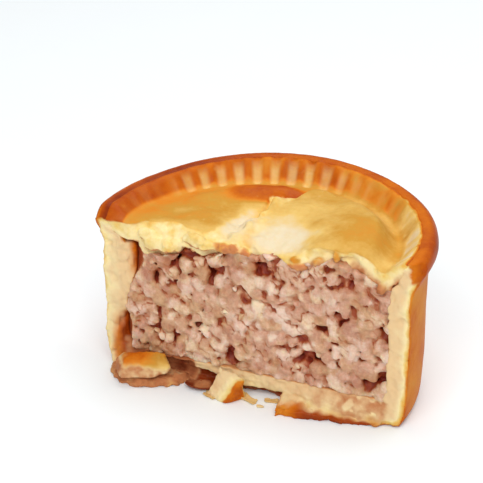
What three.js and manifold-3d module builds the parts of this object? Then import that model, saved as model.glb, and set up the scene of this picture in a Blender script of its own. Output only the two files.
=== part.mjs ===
// Cut piece of a raised minced-meat pie, in millimetres, +Z up.
// The pie's axis is the Z axis, its base stands on z = 0 and its cut faces -Y.
import * as THREE from 'three';
import { ImprovedNoise } from 'three/addons/math/ImprovedNoise.js';
import { mergeVertices } from 'three/addons/utils/BufferGeometryUtils.js';
import Module from 'manifold-3d';

// Driving dimensions of the whole pie
const RIM_RADIUS = 50;
const BASE_RADIUS = 46.8;
const WALL_RADIUS = 47.3;
const CREST_HEIGHT = 52;
const RIM_BULGE_HEIGHT = 48.6;
const NECK_HEIGHT = 42.5;
const WALL_THICKNESS = 6.3;
const BASE_THICKNESS = 7.2;
const SEAM_RADIUS = 44.8;
const LID_FOOT_RADIUS = 39.4;
const LID_FOOT_HEIGHT = 46.2;
const LID_FOOT_RISE = 2.2;
const LID_LEVEL = 47.2;
const LID_THICKNESS = 4.6;
const CRIMP_COUNT = 49;
const CRIMP_DEPTH = 1.0;
const CRIMP_PHASE = 3.4;
const GAP = 0.3;

// Driving dimensions of the cut and of the mince
const CUT_Y = -6.2;
const CUT_ROUGHNESS = 0.55;
const RIM_DROOP = 3.6;
const DROOP_LENGTH = 6.5;
const WALL_SWELL = 3.4;
const SWELL_FOOT = 17;
const SWELL_FULL = 33;
const SWELL_TOP = 40.5;
const MINCE_GRAIN = 4.4;
const MINCE_RELIEF = 1.7;
const LUMP_EDGE = 5;
const LUMP_SPACING = 0.95;
const MINCE_PITCH = 1.5;
const MINCE_SEED = 41;

// How fine the round pieces are split
const CASE_SEGMENTS = 96;
const LID_SEGMENTS = CRIMP_COUNT * 3;
const MINCE_SEGMENTS = 52;
const CASE_CUT_PITCH = 2.3;
const LID_CUT_PITCH = 1.7;

const INNER_RADIUS = WALL_RADIUS - WALL_THICKNESS;
const BLOCK_SIDE = 130;
const BLOCK_TOP = 60;

// How far the torn base reaches in front of the cut, along X: hollow under the middle,
// with a skewed lip on the right.
const BASE_REACH = [
  [-17, 0], [-13, -1.8], [2, -2.6], [9, -2], [10.4, 8], [14, 7.6], [22, 5.8], [31, 4.4],
  [38.5, 2.8], [44, 0.6], [48, 0],
];
const LIP_START = 9;
const LIP_FULL = 26;
const LIP_START_HEIGHT = 4;
const HOLLOW_HEIGHT = 2.9;

// Height of the lid's torn lower edge along the cut, by X.
const LID_EDGE = [
  [-42, 42.9], [-36, 42.2], [-34.2, 39.8], [-32, 38.7], [-28.6, 38.8], [-25.5, 39.4],
  [-23, 40.6], [-21.2, 43.4], [-19, 42.6], [-16, 41.8], [-13.4, 41.6], [-10.6, 43.6],
  [-8.2, 45], [3, 45.2], [14, 45], [18, 46.2], [23, 47.8], [27, 47.4], [32, 46],
  [35.4, 44.6], [38, 43.8], [42, 42.9],
];

// Plan of the thin tongue of base crust that stays in front of the left end of the cut.
const TONGUE_THICKNESS = 2.6;
const TONGUE_OUTLINE = [
  [-45.4, -3], [-44.6, -8], [-41.2, -14], [-36.5, -15.6], [-32, -16.4], [-28, -14.2], [-24.6, -12.6],
  [-20.6, -9.4], [-18.6, -3],
];

// The larger holes in the cut mince: X, Z and radius.
const MINCE_HOLES = [
  [-20.4, 41.5, 2.2], [-12.4, 37.6, 1.8], [1.4, 41.5, 2.2], [27.5, 41.5, 2.3], [-2.2, 31.6, 1.5],
  [25, 30.8, 2.2], [15.9, 14.7, 2.6], [-6.6, 10.5, 1.9], [39, 28.6, 1.9], [39.2, 14.1, 1.9],
  [20.6, 26.3, 1.3], [7.8, 37.9, 1.5], [34.4, 10.8, 1.9], [-30.5, 32.6, 1.4],
];

const noise = new ImprovedNoise();
const { smoothstep, lerp, clamp } = THREE.MathUtils;

// Smooth unevenness between about -1 and 1, with lumps of the given size.
function uneven(x, y, z, size) {
  return noise.noise(x / size + 0.37, y / size + 7.21, z / size + 3.83);
}

function hill(distance, width) {
  return Math.exp(-((distance / width) ** 2));
}

// Value of a short list of [position, value] pairs, eased from one pair to the next.
function eased(pairs, position) {
  const last = pairs.length - 1;
  if (position <= pairs[0][0]) return pairs[0][1];
  if (position >= pairs[last][0]) return pairs[last][1];
  const next = pairs.findIndex((pair) => pair[0] > position);
  const [startAt, startValue] = pairs[next - 1];
  const [endAt, endValue] = pairs[next];
  return lerp(startValue, endValue, smoothstep(position, startAt, endAt));
}

// Closed geometry to a solid: shared corners are merged and collapsed triangles dropped.
const wasm = await Module();
wasm.setup();

function solidOf(geometry) {
  const bare = geometry.clone();
  bare.deleteAttribute('normal');
  bare.deleteAttribute('uv');
  const merged = mergeVertices(bare, 1e-4);
  const index = merged.index.array;
  const corners = [];
  for (let i = 0; i < index.length; i += 3) {
    const [a, b, c] = [index[i], index[i + 1], index[i + 2]];
    if (a !== b && b !== c && a !== c) corners.push(a, b, c);
  }
  const vertProperties = new Float32Array(merged.attributes.position.array);
  const triVerts = new Uint32Array(corners);
  return new wasm.Manifold(new wasm.Mesh({ numProp: 3, vertProperties, triVerts }));
}

function geometryOf(solid) {
  const mesh = solid.getMesh();
  const geometry = new THREE.BufferGeometry();
  geometry.setAttribute('position', new THREE.BufferAttribute(mesh.vertProperties, 3));
  geometry.setIndex(new THREE.BufferAttribute(mesh.triVerts, 1));
  geometry.computeVertexNormals();
  return geometry;
}

function moveVertices(geometry, move) {
  const position = geometry.attributes.position;
  const point = new THREE.Vector3();
  for (let i = 0; i < position.count; i += 1) {
    point.fromBufferAttribute(position, i);
    move(point, i);
    position.setXYZ(i, point.x, point.y, point.z);
  }
  return geometry;
}

// A ring or disc turned about Z from rows of { radius, height, move }, each row with its own move.
function turned(rows, segments) {
  const points = rows.map((row) => new THREE.Vector2(row.radius, row.height));
  const geometry = new THREE.LatheGeometry(points, segments).rotateX(Math.PI / 2);
  return moveVertices(geometry, (p, index) => {
    const row = rows[index % rows.length];
    if (row.move) row.move(p, row.radius);
  });
}

function rowsOf(pairs, move) {
  return pairs.map(([radius, height]) => ({ radius, height, move }));
}

// Everything behind the cut: a block whose front face follows y = front(x, z).
function behindCut(front, pitch) {
  const across = Math.round(BLOCK_SIDE / pitch);
  const upward = Math.round(BLOCK_TOP / pitch);
  const block = new THREE.BoxGeometry(BLOCK_SIDE, BLOCK_SIDE, BLOCK_TOP + 2, across, 1, upward);
  block.translate(0, 0, BLOCK_TOP / 2);
  moveVertices(block, (p) => {
    p.y = p.y < 0 ? front(p.x, p.z) : BLOCK_SIDE / 2;
  });
  return solidOf(block);
}

// Everything below z = height(x, y), split more finely near the cut.
function below(height) {
  const block = new THREE.BoxGeometry(2 * INNER_RADIUS + 8, 1, 1, 50, 8, 1);
  moveVertices(block, (p) => {
    p.y = CUT_Y - 3 + 55 * (p.y + 0.5) ** 2;
    p.z = p.z > 0 ? height(p.x, p.y) : 0;
  });
  return solidOf(block);
}

// The baked rim rises and dips a little on its way round.
function rimWave(x, y) {
  const turn = Math.atan2(y, x);
  const twice = -0.27 * Math.cos(2 * turn) + 0.72 * Math.sin(2 * turn);
  return twice + 0.55 * Math.cos(3 * turn) - 0.43 * Math.sin(3 * turn);
}

// The knife has pressed the rim down at the left end of the cut.
function rimDroop(x, y) {
  const nearCut = 1 - smoothstep(y, CUT_Y - 1, CUT_Y + DROOP_LENGTH);
  return RIM_DROOP * nearCut ** 2 * smoothstep(-x, 35, 42);
}

function settleRim(p) {
  const upper = smoothstep(p.z, NECK_HEIGHT, CREST_HEIGHT - 3);
  p.z += upper * (rimWave(p.x, p.y) - rimDroop(p.x, p.y));
}

// How much thicker the wall is inside, upwards, at the left end of the cut.
function wallSwell(x, y, z) {
  const leftEnd = smoothstep(-x, 24, 34) * (1 - smoothstep(y, CUT_Y + 4, CUT_Y + 20));
  return WALL_SWELL * leftEnd * smoothstep(z, SWELL_FOOT, SWELL_FULL);
}

// Lid surfaces: a dome on the right, a lower left half with a blister and a torn step between them.
function lidDome(x, y) {
  return 5.2 * Math.exp(-(((x - 26) / 16) ** 2) - ((y - 6) / 22) ** 2);
}

function lidStepAt(y) {
  return -8.6 + 0.19 * clamp(y, CUT_Y, 40);
}

function lidTop(x, y) {
  const right = smoothstep(x, lidStepAt(y) - 1.5, lidStepAt(y) + 2);
  const rise = right * (1 + 0.9 * smoothstep(y, 0, 20) + lidDome(x, y));
  const leftSwell = 2.2 * hill(x + 24, 11) * hill(y + 6, 16);
  const blister = 1.7 * hill(x + 11, 12) * hill(y - 31, 5) * (1 - right);
  const crackDip = hill(x - lidStepAt(y) + 1.5, 2.2) * smoothstep(y, -6, 6);
  const torn = 2.6 * hill(x - 9, 9) * hill(y + 6, 9);
  const crumple = 0.5 * uneven(x, y, 0, 6);
  return LID_LEVEL + rise + leftSwell + blister - crackDip - torn + crumple;
}

function lidUnderside(x, y) {
  const nearCut = 1 - smoothstep(y, CUT_Y + 3, CUT_Y + 11);
  return lerp(LID_LEVEL - LID_THICKNESS + lidDome(x, y), eased(LID_EDGE, x), nearCut);
}

// Where the lid meets the foot of its collar: higher at both ends of the cut.
function lidFootHeight(x, y) {
  return LID_FOOT_HEIGHT + LID_FOOT_RISE * (1 - smoothstep(y, CUT_Y, CUT_Y + 28));
}

// Ragged faces left by the knife
function baseFront(x, z) {
  const lipTop = lerp(LIP_START_HEIGHT, BASE_THICKNESS + 0.8, smoothstep(x, LIP_START, LIP_FULL));
  const top = x < LIP_START ? HOLLOW_HEIGHT : lipTop;
  return eased(BASE_REACH, x) * (1 - smoothstep(z, 0.6, top));
}

function caseFront(x, z) {
  const rough = CUT_ROUGHNESS * uneven(x, 0, z, 4.5);
  return CUT_Y + rough - baseFront(x, z);
}

// The lid tears back from the cut and hangs in flakes at its lower edge.
function lidFront(x, z) {
  const inner = 1 - smoothstep(Math.abs(x), 34, 39);
  const tear = 2.6 * smoothstep(z, 45.5, 49.5) * (0.6 + hill(x + 20, 16) + 0.5 * uneven(x, 4, 0, 8)) * inner;
  const flake = 0.9 * uneven(x, 9, z, 3.4);
  return CUT_Y + 0.3 + tear + flake;
}

// Mince: rounded lumps over the cut, with holes between them.
function drawLumps() {
  THREE.MathUtils.seededRandom(MINCE_SEED);
  const draw = () => THREE.MathUtils.seededRandom();
  const lumps = [];
  for (let x = -INNER_RADIUS; x <= INNER_RADIUS; x += MINCE_GRAIN * LUMP_SPACING) {
    for (let z = BASE_THICKNESS; z <= CREST_HEIGHT; z += MINCE_GRAIN * LUMP_SPACING) {
      const offset = MINCE_GRAIN * 0.9;
      lumps.push({
        x: x + offset * (draw() - 0.5),
        z: z + offset * (draw() - 0.5),
        radius: MINCE_GRAIN * (0.5 + 0.3 * draw()),
        proud: 1.1 * (draw() - 0.5),
      });
    }
  }
  return lumps;
}

const lumps = drawLumps();

function minceFront(x, z) {
  let crowd = Math.exp(-LUMP_EDGE);
  for (const lump of lumps) {
    const away = ((x - lump.x) ** 2 + (z - lump.z) ** 2) / lump.radius ** 2;
    if (away < 3) crowd += Math.exp(LUMP_EDGE * (1 + lump.proud - away));
  }
  const height = Math.log(crowd) / LUMP_EDGE;
  const hole = MINCE_HOLES.reduce((depth, [holeX, holeZ, radius]) => (
    depth + 1.9 * radius * hill(Math.hypot(x - holeX, z - holeZ), 1.1 * radius)
  ), 0);
  return CUT_Y + 1 - MINCE_RELIEF * height + hole;
}

// The mince has shrunk from the wall at the top and bottom of the left end.
function minceShrink(x, y, z) {
  const leftEnd = smoothstep(-x, 24, 34) * (1 - smoothstep(y, CUT_Y + 4, CUT_Y + 18));
  const high = 3.4 * smoothstep(z, 30, 35);
  const low = 2.6 * (1 - smoothstep(z, 17, 22));
  const baked = 0.35 * uneven(x, y, z, 6) + 0.35;
  return 1.1 * wallSwell(x, y, z) + leftEnd * (high + low) + baked;
}

function makeCase() {
  const outside = [
    [0, 0], [BASE_RADIUS * 0.5, 0], [BASE_RADIUS - 2.4, 0], [BASE_RADIUS - 0.5, 1.4], [BASE_RADIUS, 5],
    [WALL_RADIUS - 0.2, 13], [WALL_RADIUS, 24], [WALL_RADIUS, 35],
    [WALL_RADIUS + 0.1, NECK_HEIGHT], [RIM_RADIUS - 1.3, RIM_BULGE_HEIGHT - 2.7],
    [RIM_RADIUS, RIM_BULGE_HEIGHT], [RIM_RADIUS - 0.5, CREST_HEIGHT - 1.4],
    [RIM_RADIUS - 1.6, CREST_HEIGHT - 0.35], [RIM_RADIUS - 3, CREST_HEIGHT],
  ];
  const inside = [
    [SEAM_RADIUS, CREST_HEIGHT - 0.5], [SEAM_RADIUS - 0.3, CREST_HEIGHT - 3],
    [SEAM_RADIUS - 1.4, CREST_HEIGHT - 6], [INNER_RADIUS + 0.3, NECK_HEIGHT + 1],
    [INNER_RADIUS, NECK_HEIGHT - 0.3], [INNER_RADIUS, SWELL_TOP], [INNER_RADIUS, 29],
    [INNER_RADIUS, 23], [INNER_RADIUS, SWELL_FOOT], [INNER_RADIUS - 0.1, 10],
    [INNER_RADIUS - 2, BASE_THICKNESS + 0.4], [INNER_RADIUS - 7, BASE_THICKNESS], [0, BASE_THICKNESS],
  ];
  const bakeOutside = (p, radius) => {
    const swell = 1 + (0.3 * uneven(p.x, p.y, p.z, 14)) / (radius + 1);
    p.x *= swell;
    p.y *= swell;
    settleRim(p);
  };
  const shapeInside = (p, radius) => {
    const swell = p.z > SWELL_TOP + 0.1 ? 0 : wallSwell(p.x, p.y, p.z);
    p.x *= 1 - swell / (radius + 1);
    p.y *= 1 - swell / (radius + 1);
    settleRim(p);
  };
  const shell = turned([...rowsOf(outside, bakeOutside), ...rowsOf(inside, shapeInside)], CASE_SEGMENTS);
  const cut = solidOf(shell).intersect(behindCut(caseFront, CASE_CUT_PITCH));
  return cut.add(solidOf(makeTongue()));
}

// Torn flake of base crust that lies flat.
function makeTongue() {
  const outline = new THREE.Shape();
  const points = TONGUE_OUTLINE.map(([x, y]) => new THREE.Vector2(x, y));
  outline.moveTo(points[0].x, points[0].y);
  outline.splineThru(points.slice(1));
  outline.closePath();
  const settings = { depth: TONGUE_THICKNESS, curveSegments: 4, bevelEnabled: false };
  return new THREE.ExtrudeGeometry(outline, settings);
}

// Underside of the lid, which rises to the shoulder of the case at its edge.
function lidCeiling(x, y) {
  const rise = smoothstep(Math.hypot(x, y), 36, INNER_RADIUS);
  return lerp(lidUnderside(x, y), NECK_HEIGHT + 0.4, rise);
}

// Each crimp is a groove pressed into the collar's inner slope.
function crimp(p, radius, share) {
  const groove = 0.5 + 0.5 * Math.cos(CRIMP_COUNT * Math.atan2(p.y, p.x) - CRIMP_PHASE);
  const press = CRIMP_DEPTH * share * groove;
  const outward = 1 + (0.7 * press) / radius;
  p.x *= outward;
  p.y *= outward;
  p.z -= 0.7 * press;
}

function makeLid() {
  const collar = SEAM_RADIUS - GAP;
  const crest = CREST_HEIGHT - 0.45;
  const layTop = (p, radius) => {
    const toFoot = smoothstep(radius, 32, LID_FOOT_RADIUS);
    p.z = lerp(lidTop(p.x, p.y), lidFootHeight(p.x, p.y), toFoot);
  };
  const collarOutside = [
    [INNER_RADIUS - 4, NECK_HEIGHT - 7], [INNER_RADIUS - 0.8, NECK_HEIGHT],
    [INNER_RADIUS - GAP, NECK_HEIGHT + 1], [collar - 1.4, CREST_HEIGHT - 5.7],
    [collar - 0.3, CREST_HEIGHT - 3], [collar, CREST_HEIGHT - 0.75],
  ];
  // The collar's inner slope, from its crest down to the foot, and how deep each row is crimped.
  const slope = [
    { radius: collar - 0.4, climb: 1, share: 0.25 },
    { radius: collar - 1.3, climb: 0.8, share: 1 },
    { radius: LID_FOOT_RADIUS + 2, climb: 0.36, share: 1 },
    { radius: LID_FOOT_RADIUS, climb: 0, share: 0.3 },
  ].map(({ radius, climb, share }) => ({
    radius,
    height: crest,
    move: (p) => {
      settleRim(p);
      p.z = lerp(lidFootHeight(p.x, p.y), p.z, climb);
      crimp(p, radius, share);
    },
  }));
  const flat = (radii, move) => rowsOf(radii.map((radius) => [radius, LID_LEVEL]), move);
  const plate = turned([
    { radius: 0, height: NECK_HEIGHT - 7 },
    ...rowsOf(collarOutside, settleRim),
    ...slope,
    ...flat([36.5, 32.5, 28, 23.5, 19, 14.5, 10, 5, 0], layTop),
  ], LID_SEGMENTS);
  return solidOf(plate).subtract(below(lidCeiling)).intersect(behindCut(lidFront, LID_CUT_PITCH));
}

function makeMince() {
  const wall = INNER_RADIUS - GAP;
  const floor = BASE_THICKNESS + GAP;
  const shrink = (p, radius) => {
    const kept = 1 - minceShrink(p.x, p.y, p.z) / radius;
    p.x *= kept;
    p.y *= kept;
  };
  const top = (x, y) => lidCeiling(x, y) - 0.6 - 0.3 * (1 + uneven(x, y, 0, 8));
  const underneath = [[0, floor], [INNER_RADIUS - 8, floor], [INNER_RADIUS - 2.6, floor + 0.5]];
  const side = [11, 17, 23, 29, 35, 40, CREST_HEIGHT].map((height) => [wall, height]);
  const filling = turned([
    ...rowsOf(underneath),
    ...rowsOf(side, shrink),
    { radius: 0, height: CREST_HEIGHT },
  ], MINCE_SEGMENTS);
  return solidOf(filling).intersect(below(top)).intersect(behindCut(minceFront, MINCE_PITCH));
}

// A broken bit of crust: a bar with softened corners, lower and slimmer at one end.
function makeCrumb({ length, width, height, slim }) {
  const bar = new THREE.BoxGeometry(length, width, height, 7, 3, 3);
  moveVertices(bar, (p) => {
    const [along, across, upward] = [(2 * p.x) / length, (2 * p.y) / width, (2 * p.z) / height];
    const reach = Math.max(Math.abs(across), Math.abs(upward));
    const soft = reach > 0 ? lerp(1, reach / Math.hypot(across, upward), 0.55) : 1;
    const end = 1 - 0.25 * along ** 4;
    const taper = 1 - slim * (0.5 - 0.5 * along);
    p.x *= 1 - 0.12 * reach ** 2;
    p.x += 0.8 * uneven(p.x, p.y, p.z, 4);
    p.y = p.y * soft * end * taper + 0.6 * uneven(p.y, p.z, p.x, 4);
    p.z = p.z * soft * end + 0.5 * uneven(p.z, p.x, p.y, 3.5);
    p.z = upward > -0.99 ? (p.z + height / 2) * taper : 0;
  });
  return geometryOf(solidOf(bar));
}

// Finishes: browned glazed crust, pale cut pastry and greyish-pink cooked meat.
const FINISHES = {
  crust: { color: 0xc6742c, roughness: 0.45, metalness: 0 },
  lid: { color: 0xdca653, roughness: 0.5, metalness: 0 },
  meat: { color: 0xbd8e70, roughness: 0.62, metalness: 0 },
  crumb: { color: 0xd79a52, roughness: 0.7, metalness: 0 },
};

function piece(name, geometry, finish) {
  const mesh = new THREE.Mesh(geometry, new THREE.MeshStandardMaterial(FINISHES[finish]));
  mesh.name = name;
  return mesh;
}

const CRUMBS = {
  crust_crumb_left: {
    length: 15, width: 6.4, height: 5.7, slim: 0.12, turn: 0.36, at: [-32, -12, TONGUE_THICKNESS + GAP],
  },
  crust_crumb_middle: {
    length: 11, width: 5.8, height: 8.4, slim: 0.45, turn: Math.PI - 0.12, at: [-6, -10.6, 0],
  },
};

const pie = new THREE.Group();
pie.add(piece('pastry_case', geometryOf(makeCase()), 'crust'));
pie.add(piece('pastry_lid', geometryOf(makeLid()), 'lid'));
pie.add(piece('mince_filling', geometryOf(makeMince()), 'meat'));
for (const [name, crumb] of Object.entries(CRUMBS)) {
  const mesh = piece(name, makeCrumb(crumb), 'crumb');
  mesh.position.set(...crumb.at);
  mesh.rotation.z = crumb.turn;
  pie.add(mesh);
}

export default pie;
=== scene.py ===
# %% [markdown]
# # A cut raised meat pie
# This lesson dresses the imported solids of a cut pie: pastry case, crimped lid, mince and crumbs.
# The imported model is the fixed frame. Each dressed piece is built over its solid, in the same place,
# and then stands for it in the picture.

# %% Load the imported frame
import math

import bpy
import numpy as np
import openvdb
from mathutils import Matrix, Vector


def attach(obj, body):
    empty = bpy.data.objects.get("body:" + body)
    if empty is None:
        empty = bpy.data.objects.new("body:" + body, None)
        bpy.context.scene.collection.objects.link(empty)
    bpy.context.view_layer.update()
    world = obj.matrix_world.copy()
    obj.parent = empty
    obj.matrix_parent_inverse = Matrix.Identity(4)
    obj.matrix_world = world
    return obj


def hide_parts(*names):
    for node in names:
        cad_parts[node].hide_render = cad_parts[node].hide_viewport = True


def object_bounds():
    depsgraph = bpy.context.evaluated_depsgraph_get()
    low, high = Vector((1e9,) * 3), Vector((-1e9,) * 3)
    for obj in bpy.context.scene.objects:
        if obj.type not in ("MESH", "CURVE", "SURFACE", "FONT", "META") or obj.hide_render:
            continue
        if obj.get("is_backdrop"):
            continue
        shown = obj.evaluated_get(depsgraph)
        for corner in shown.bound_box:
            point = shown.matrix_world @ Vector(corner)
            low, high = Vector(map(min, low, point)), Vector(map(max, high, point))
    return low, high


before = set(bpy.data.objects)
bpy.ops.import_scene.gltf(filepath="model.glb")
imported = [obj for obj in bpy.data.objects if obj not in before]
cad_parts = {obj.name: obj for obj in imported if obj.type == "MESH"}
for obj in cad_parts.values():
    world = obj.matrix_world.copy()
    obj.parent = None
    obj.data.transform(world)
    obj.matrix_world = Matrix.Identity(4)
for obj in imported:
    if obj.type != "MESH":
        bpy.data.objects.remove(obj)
cad_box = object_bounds()
scene = bpy.context.scene
print("solids:", sorted(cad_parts))

# %% [markdown]
# ## Camera
# The camera was found by fitting a turned profile to the rim, wall and base of the photographed pie.
# It stands a little to the right of the cut and looks down on it. A long lens far away keeps the rim's
# ellipse as flat as it is in the picture.

# %% Camera
MM = 0.001
CAMERA_AZIMUTH = math.radians(22.84)
CAMERA_ELEVATION = math.radians(27.66)
CAMERA_DISTANCE = 600 * MM
CAMERA_TARGET = Vector((-14.37, 20.0, 34.52)) * MM
FOCAL_LENGTH_PX = 2033.4
FRAME_PX = 483
SENSOR_MM = 36.0


def towards_camera(azimuth, elevation):
    flat = math.cos(elevation)
    return Vector((math.sin(azimuth) * flat, -math.cos(azimuth) * flat, math.sin(elevation)))


def look_at(obj, place, target):
    obj.location = place
    obj.rotation_euler = (target - place).to_track_quat("-Z", "Y").to_euler()


camera_place = CAMERA_TARGET + towards_camera(CAMERA_AZIMUTH, CAMERA_ELEVATION) * CAMERA_DISTANCE
camera = bpy.data.objects.new("camera", bpy.data.cameras.new("camera"))
camera.data.sensor_width = SENSOR_MM
camera.data.lens = FOCAL_LENGTH_PX * SENSOR_MM / FRAME_PX
camera.data.clip_start = 10 * MM
scene.collection.objects.link(camera)
look_at(camera, camera_place, CAMERA_TARGET)
scene.camera = camera
scene.view_settings.view_transform = "Standard"
print("lens", round(camera.data.lens, 1), "mm")

# %% [markdown]
# ## Soft studio light
# Food is lit by large soft sources so that crust and fat shine without hard shadows. One big panel hangs
# above and slightly behind the pie and gives the rim its sheen, a second one in front keeps the cut bright,
# and a pale surround fills the rest.

# %% Light
def area_light(name, place, target, size, power):
    lamp = bpy.data.lights.new(name, "AREA")
    lamp.shape = "RECTANGLE"
    lamp.size, lamp.size_y = size
    lamp.energy = power
    obj = bpy.data.objects.new(name, lamp)
    scene.collection.objects.link(obj)
    look_at(obj, Vector(place), Vector(target))
    print(name, power, "W")


PIE_MIDDLE = (0.0, 0.01, 0.025)
OVERHEAD_POWER, FRONT_POWER, SURROUND_STRENGTH = 4.2, 6.4, 0.3
area_light("overhead_panel", (0.05, 0.30, 0.75), PIE_MIDDLE, (0.9, 0.7), OVERHEAD_POWER)
area_light("front_panel", (0.16, -0.62, 0.72), PIE_MIDDLE, (0.9, 0.6), FRONT_POWER)
world = bpy.data.worlds.new("pale_surround")
world.use_nodes = True
surround = world.node_tree.nodes["Background"].inputs
surround["Color"].default_value = (1.0, 0.99, 0.97, 1)
surround["Strength"].default_value = SURROUND_STRENGTH
scene.world = world

# %% [markdown]
# ## Sampled space
# Torn pastry and mince are hard to model face by face. Here each piece is first a function that tells, for
# every point of a fine grid, how far it is outside the piece. Pieces are joined and cut by taking the lower
# or higher of two such functions, and the zero level is then turned into a mesh. All lengths are millimetres
# until the mesh is made.

# %% Joining, cutting and easing
def eased(low, high, value):
    t = np.clip((value - low) / (high - low), 0, 1)
    return t * t * (3 - 2 * t)


def faded(low, high, value):
    """1 up to the low value, 0 from the high value on."""
    return 1 - eased(low, high, value)


def blend(a, b, share):
    return a + (b - a) * share


def hill(distance, width):
    return np.exp(-((distance / width) ** 2))


def joined(a, b, soft):
    share = np.clip(0.5 + 0.5 * (b - a) / soft, 0, 1)
    return blend(b, a, share) - soft * share * (1 - share)


def overlap(a, b, soft):
    return -joined(-a, -b, soft)


# %% [markdown]
# Nothing on a pie is smooth. Random values on a small lattice, read with soft steps between its points, give
# lumps of any chosen size. The lattice is turned so that its rows do not show along the cut, and a few finer
# copies of it on top make the lumps ragged.

# %% Unevenness
LATTICE = 32
LATTICE_AXES = ((0.48, 0.6, 0.64), (-0.8, 0.6, 0.0), (-0.36, -0.52, 0.77))
lattices = {}


def uneven(x, y, z, size, seed=0):
    """Smooth random values between -1 and 1 whose lumps measure about the given size."""
    if seed not in lattices:
        lattices[seed] = np.random.default_rng(seed).uniform(-1, 1, (LATTICE,) * 3).astype(np.float32)
    x, y, z = (np.asarray(value, dtype=np.float32) / size for value in (x, y, z))
    corners = []
    for ax, ay, az in LATTICE_AXES:
        value = ax * x + ay * y + az * z + 100.0
        cell = np.floor(value).astype(np.int32)
        part = value - cell
        part = part * part * (3 - 2 * part)
        corners.append(((cell % LATTICE, 1 - part), ((cell + 1) % LATTICE, part)))
    total = 0
    for i, wi in corners[0]:
        for j, wj in corners[1]:
            for k, wk in corners[2]:
                total = total + lattices[seed][i, j, k] * (wi * wj * wk)
    return total


def rough(x, y, z, size, seed=0, octaves=3):
    """Unevenness with finer and finer lumps added."""
    total = 0
    for octave in range(octaves):
        total = total + uneven(x, y, z, size / 2**octave, seed + octave) / 2**octave
    return total


# %% [markdown]
# ## Outlines
# The case and the collar of the lid are turned shapes, so their outline is a closed curve of radius and
# height. Its corners are cut a few times to round them, and the distance to it is kept in a table that
# every grid point reads.

# %% Distance to an outline
TABLE_STEP = 0.2


def cell_of(value, low, step, count):
    """Whole and remaining part of the place that a value has in a table of so many steps."""
    at = np.clip((value - low) / step, 0, count - 1.001)
    whole = at.astype(np.int32)
    return whole, at - whole


def rounded(points, rounds):
    points = np.array(points, float)
    for _ in range(rounds):
        after = np.roll(points, -1, axis=0)
        points = np.stack([0.75 * points + 0.25 * after, 0.25 * points + 0.75 * after], 1).reshape(-1, 2)
    return points


class Outline:
    """Signed distance to a closed outline, negative inside."""

    def __init__(self, points, rounds=3, margin=8.0):
        points = rounded(points, rounds)
        self.low = points.min(0) - margin
        count = np.ceil((points.max(0) + margin - self.low) / TABLE_STEP).astype(int) + 1
        u = (self.low[0] + TABLE_STEP * np.arange(count[0]))[:, None]
        v = (self.low[1] + TABLE_STEP * np.arange(count[1]))[None, :]
        nearest = np.full((count[0], count[1]), 1e9)
        inside = np.zeros((count[0], count[1]), bool)
        for (au, av), (bu, bv) in zip(points, np.roll(points, -1, axis=0)):
            length = max((bu - au) ** 2 + (bv - av) ** 2, 1e-12)
            t = np.clip(((u - au) * (bu - au) + (v - av) * (bv - av)) / length, 0, 1)
            nearest = np.minimum(nearest, (u - au - t * (bu - au)) ** 2 + (v - av - t * (bv - av)) ** 2)
            if av != bv:
                crosses = ((av > v) != (bv > v)) & (u < (bu - au) * (v - av) / (bv - av) + au)
                inside ^= crosses
        self.table = np.where(inside, -1, 1).astype(np.float32) * np.sqrt(nearest).astype(np.float32)

    def __call__(self, u, v):
        i, u = cell_of(u, self.low[0], TABLE_STEP, self.table.shape[0])
        j, v = cell_of(v, self.low[1], TABLE_STEP, self.table.shape[1])
        u, v = u.astype(np.float32), v.astype(np.float32)
        below = blend(self.table[i, j], self.table[i + 1, j], u)
        above = blend(self.table[i, j + 1], self.table[i + 1, j + 1], u)
        return blend(below, above, v)


# %% [markdown]
# A block is the grid itself. Its steps are fine at the cut, where the detail is, and may grow behind it.
# OpenVDB finds the zero level between grid points and gives back quads.

# %% Grid of points and its mesh
FAR_OUTSIDE, BORDER = 3.0, 0.5
GROWTH_LENGTH = 25.0


class Block:
    """A box of space sampled on a grid. Steps along Y may grow with the distance behind the cut."""

    def __init__(self, low, high, step, far_step=None):
        xs = np.arange(low[0], high[0] + step, step)
        zs = np.arange(low[2], high[2] + step, step)
        ys = [low[1]]
        while ys[-1] < high[1]:
            share = float(eased(0.0, GROWTH_LENGTH, ys[-1] - CUT_Y)) if far_step else 0.0
            ys.append(ys[-1] + blend(step, far_step or step, share))
        self.axes = [np.asarray(a, dtype=np.float32) for a in (xs, ys, zs)]
        self.x = self.axes[0][:, None, None]
        self.y = self.axes[1][None, :, None]
        self.z = self.axes[2][None, None, :]

    def mesh(self, field):
        """Points and quads of the zero level, in millimetres."""
        field = np.ascontiguousarray(np.broadcast_to(field, [len(a) for a in self.axes]), dtype=np.float32)
        for axis in range(3):
            layers = np.moveaxis(field, axis, 0)
            layers[[0, -1]] = np.maximum(layers[[0, -1]], BORDER)
        grid = openvdb.FloatGrid(FAR_OUTSIDE)
        grid.copyFromArray(field)
        points, quads = grid.convertToQuads(0.0)
        places = [np.interp(points[:, n], np.arange(len(a)), a) for n, a in enumerate(self.axes)]
        return np.stack(places, 1), quads

    def sample(self, field, points):
        """Field values at the grid points nearest to the given points."""
        index = [np.clip(np.rint(np.interp(points[:, n], a, np.arange(len(a)))), 0, len(a) - 1).astype(int)
                 for n, a in enumerate(self.axes)]
        return field[index[0], index[1], index[2]]


# %% [markdown]
# A blur takes the sharpness out of a sampled distance. The sum of a row of values is the difference of two
# running sums, so its cost does not grow with its reach.

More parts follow.
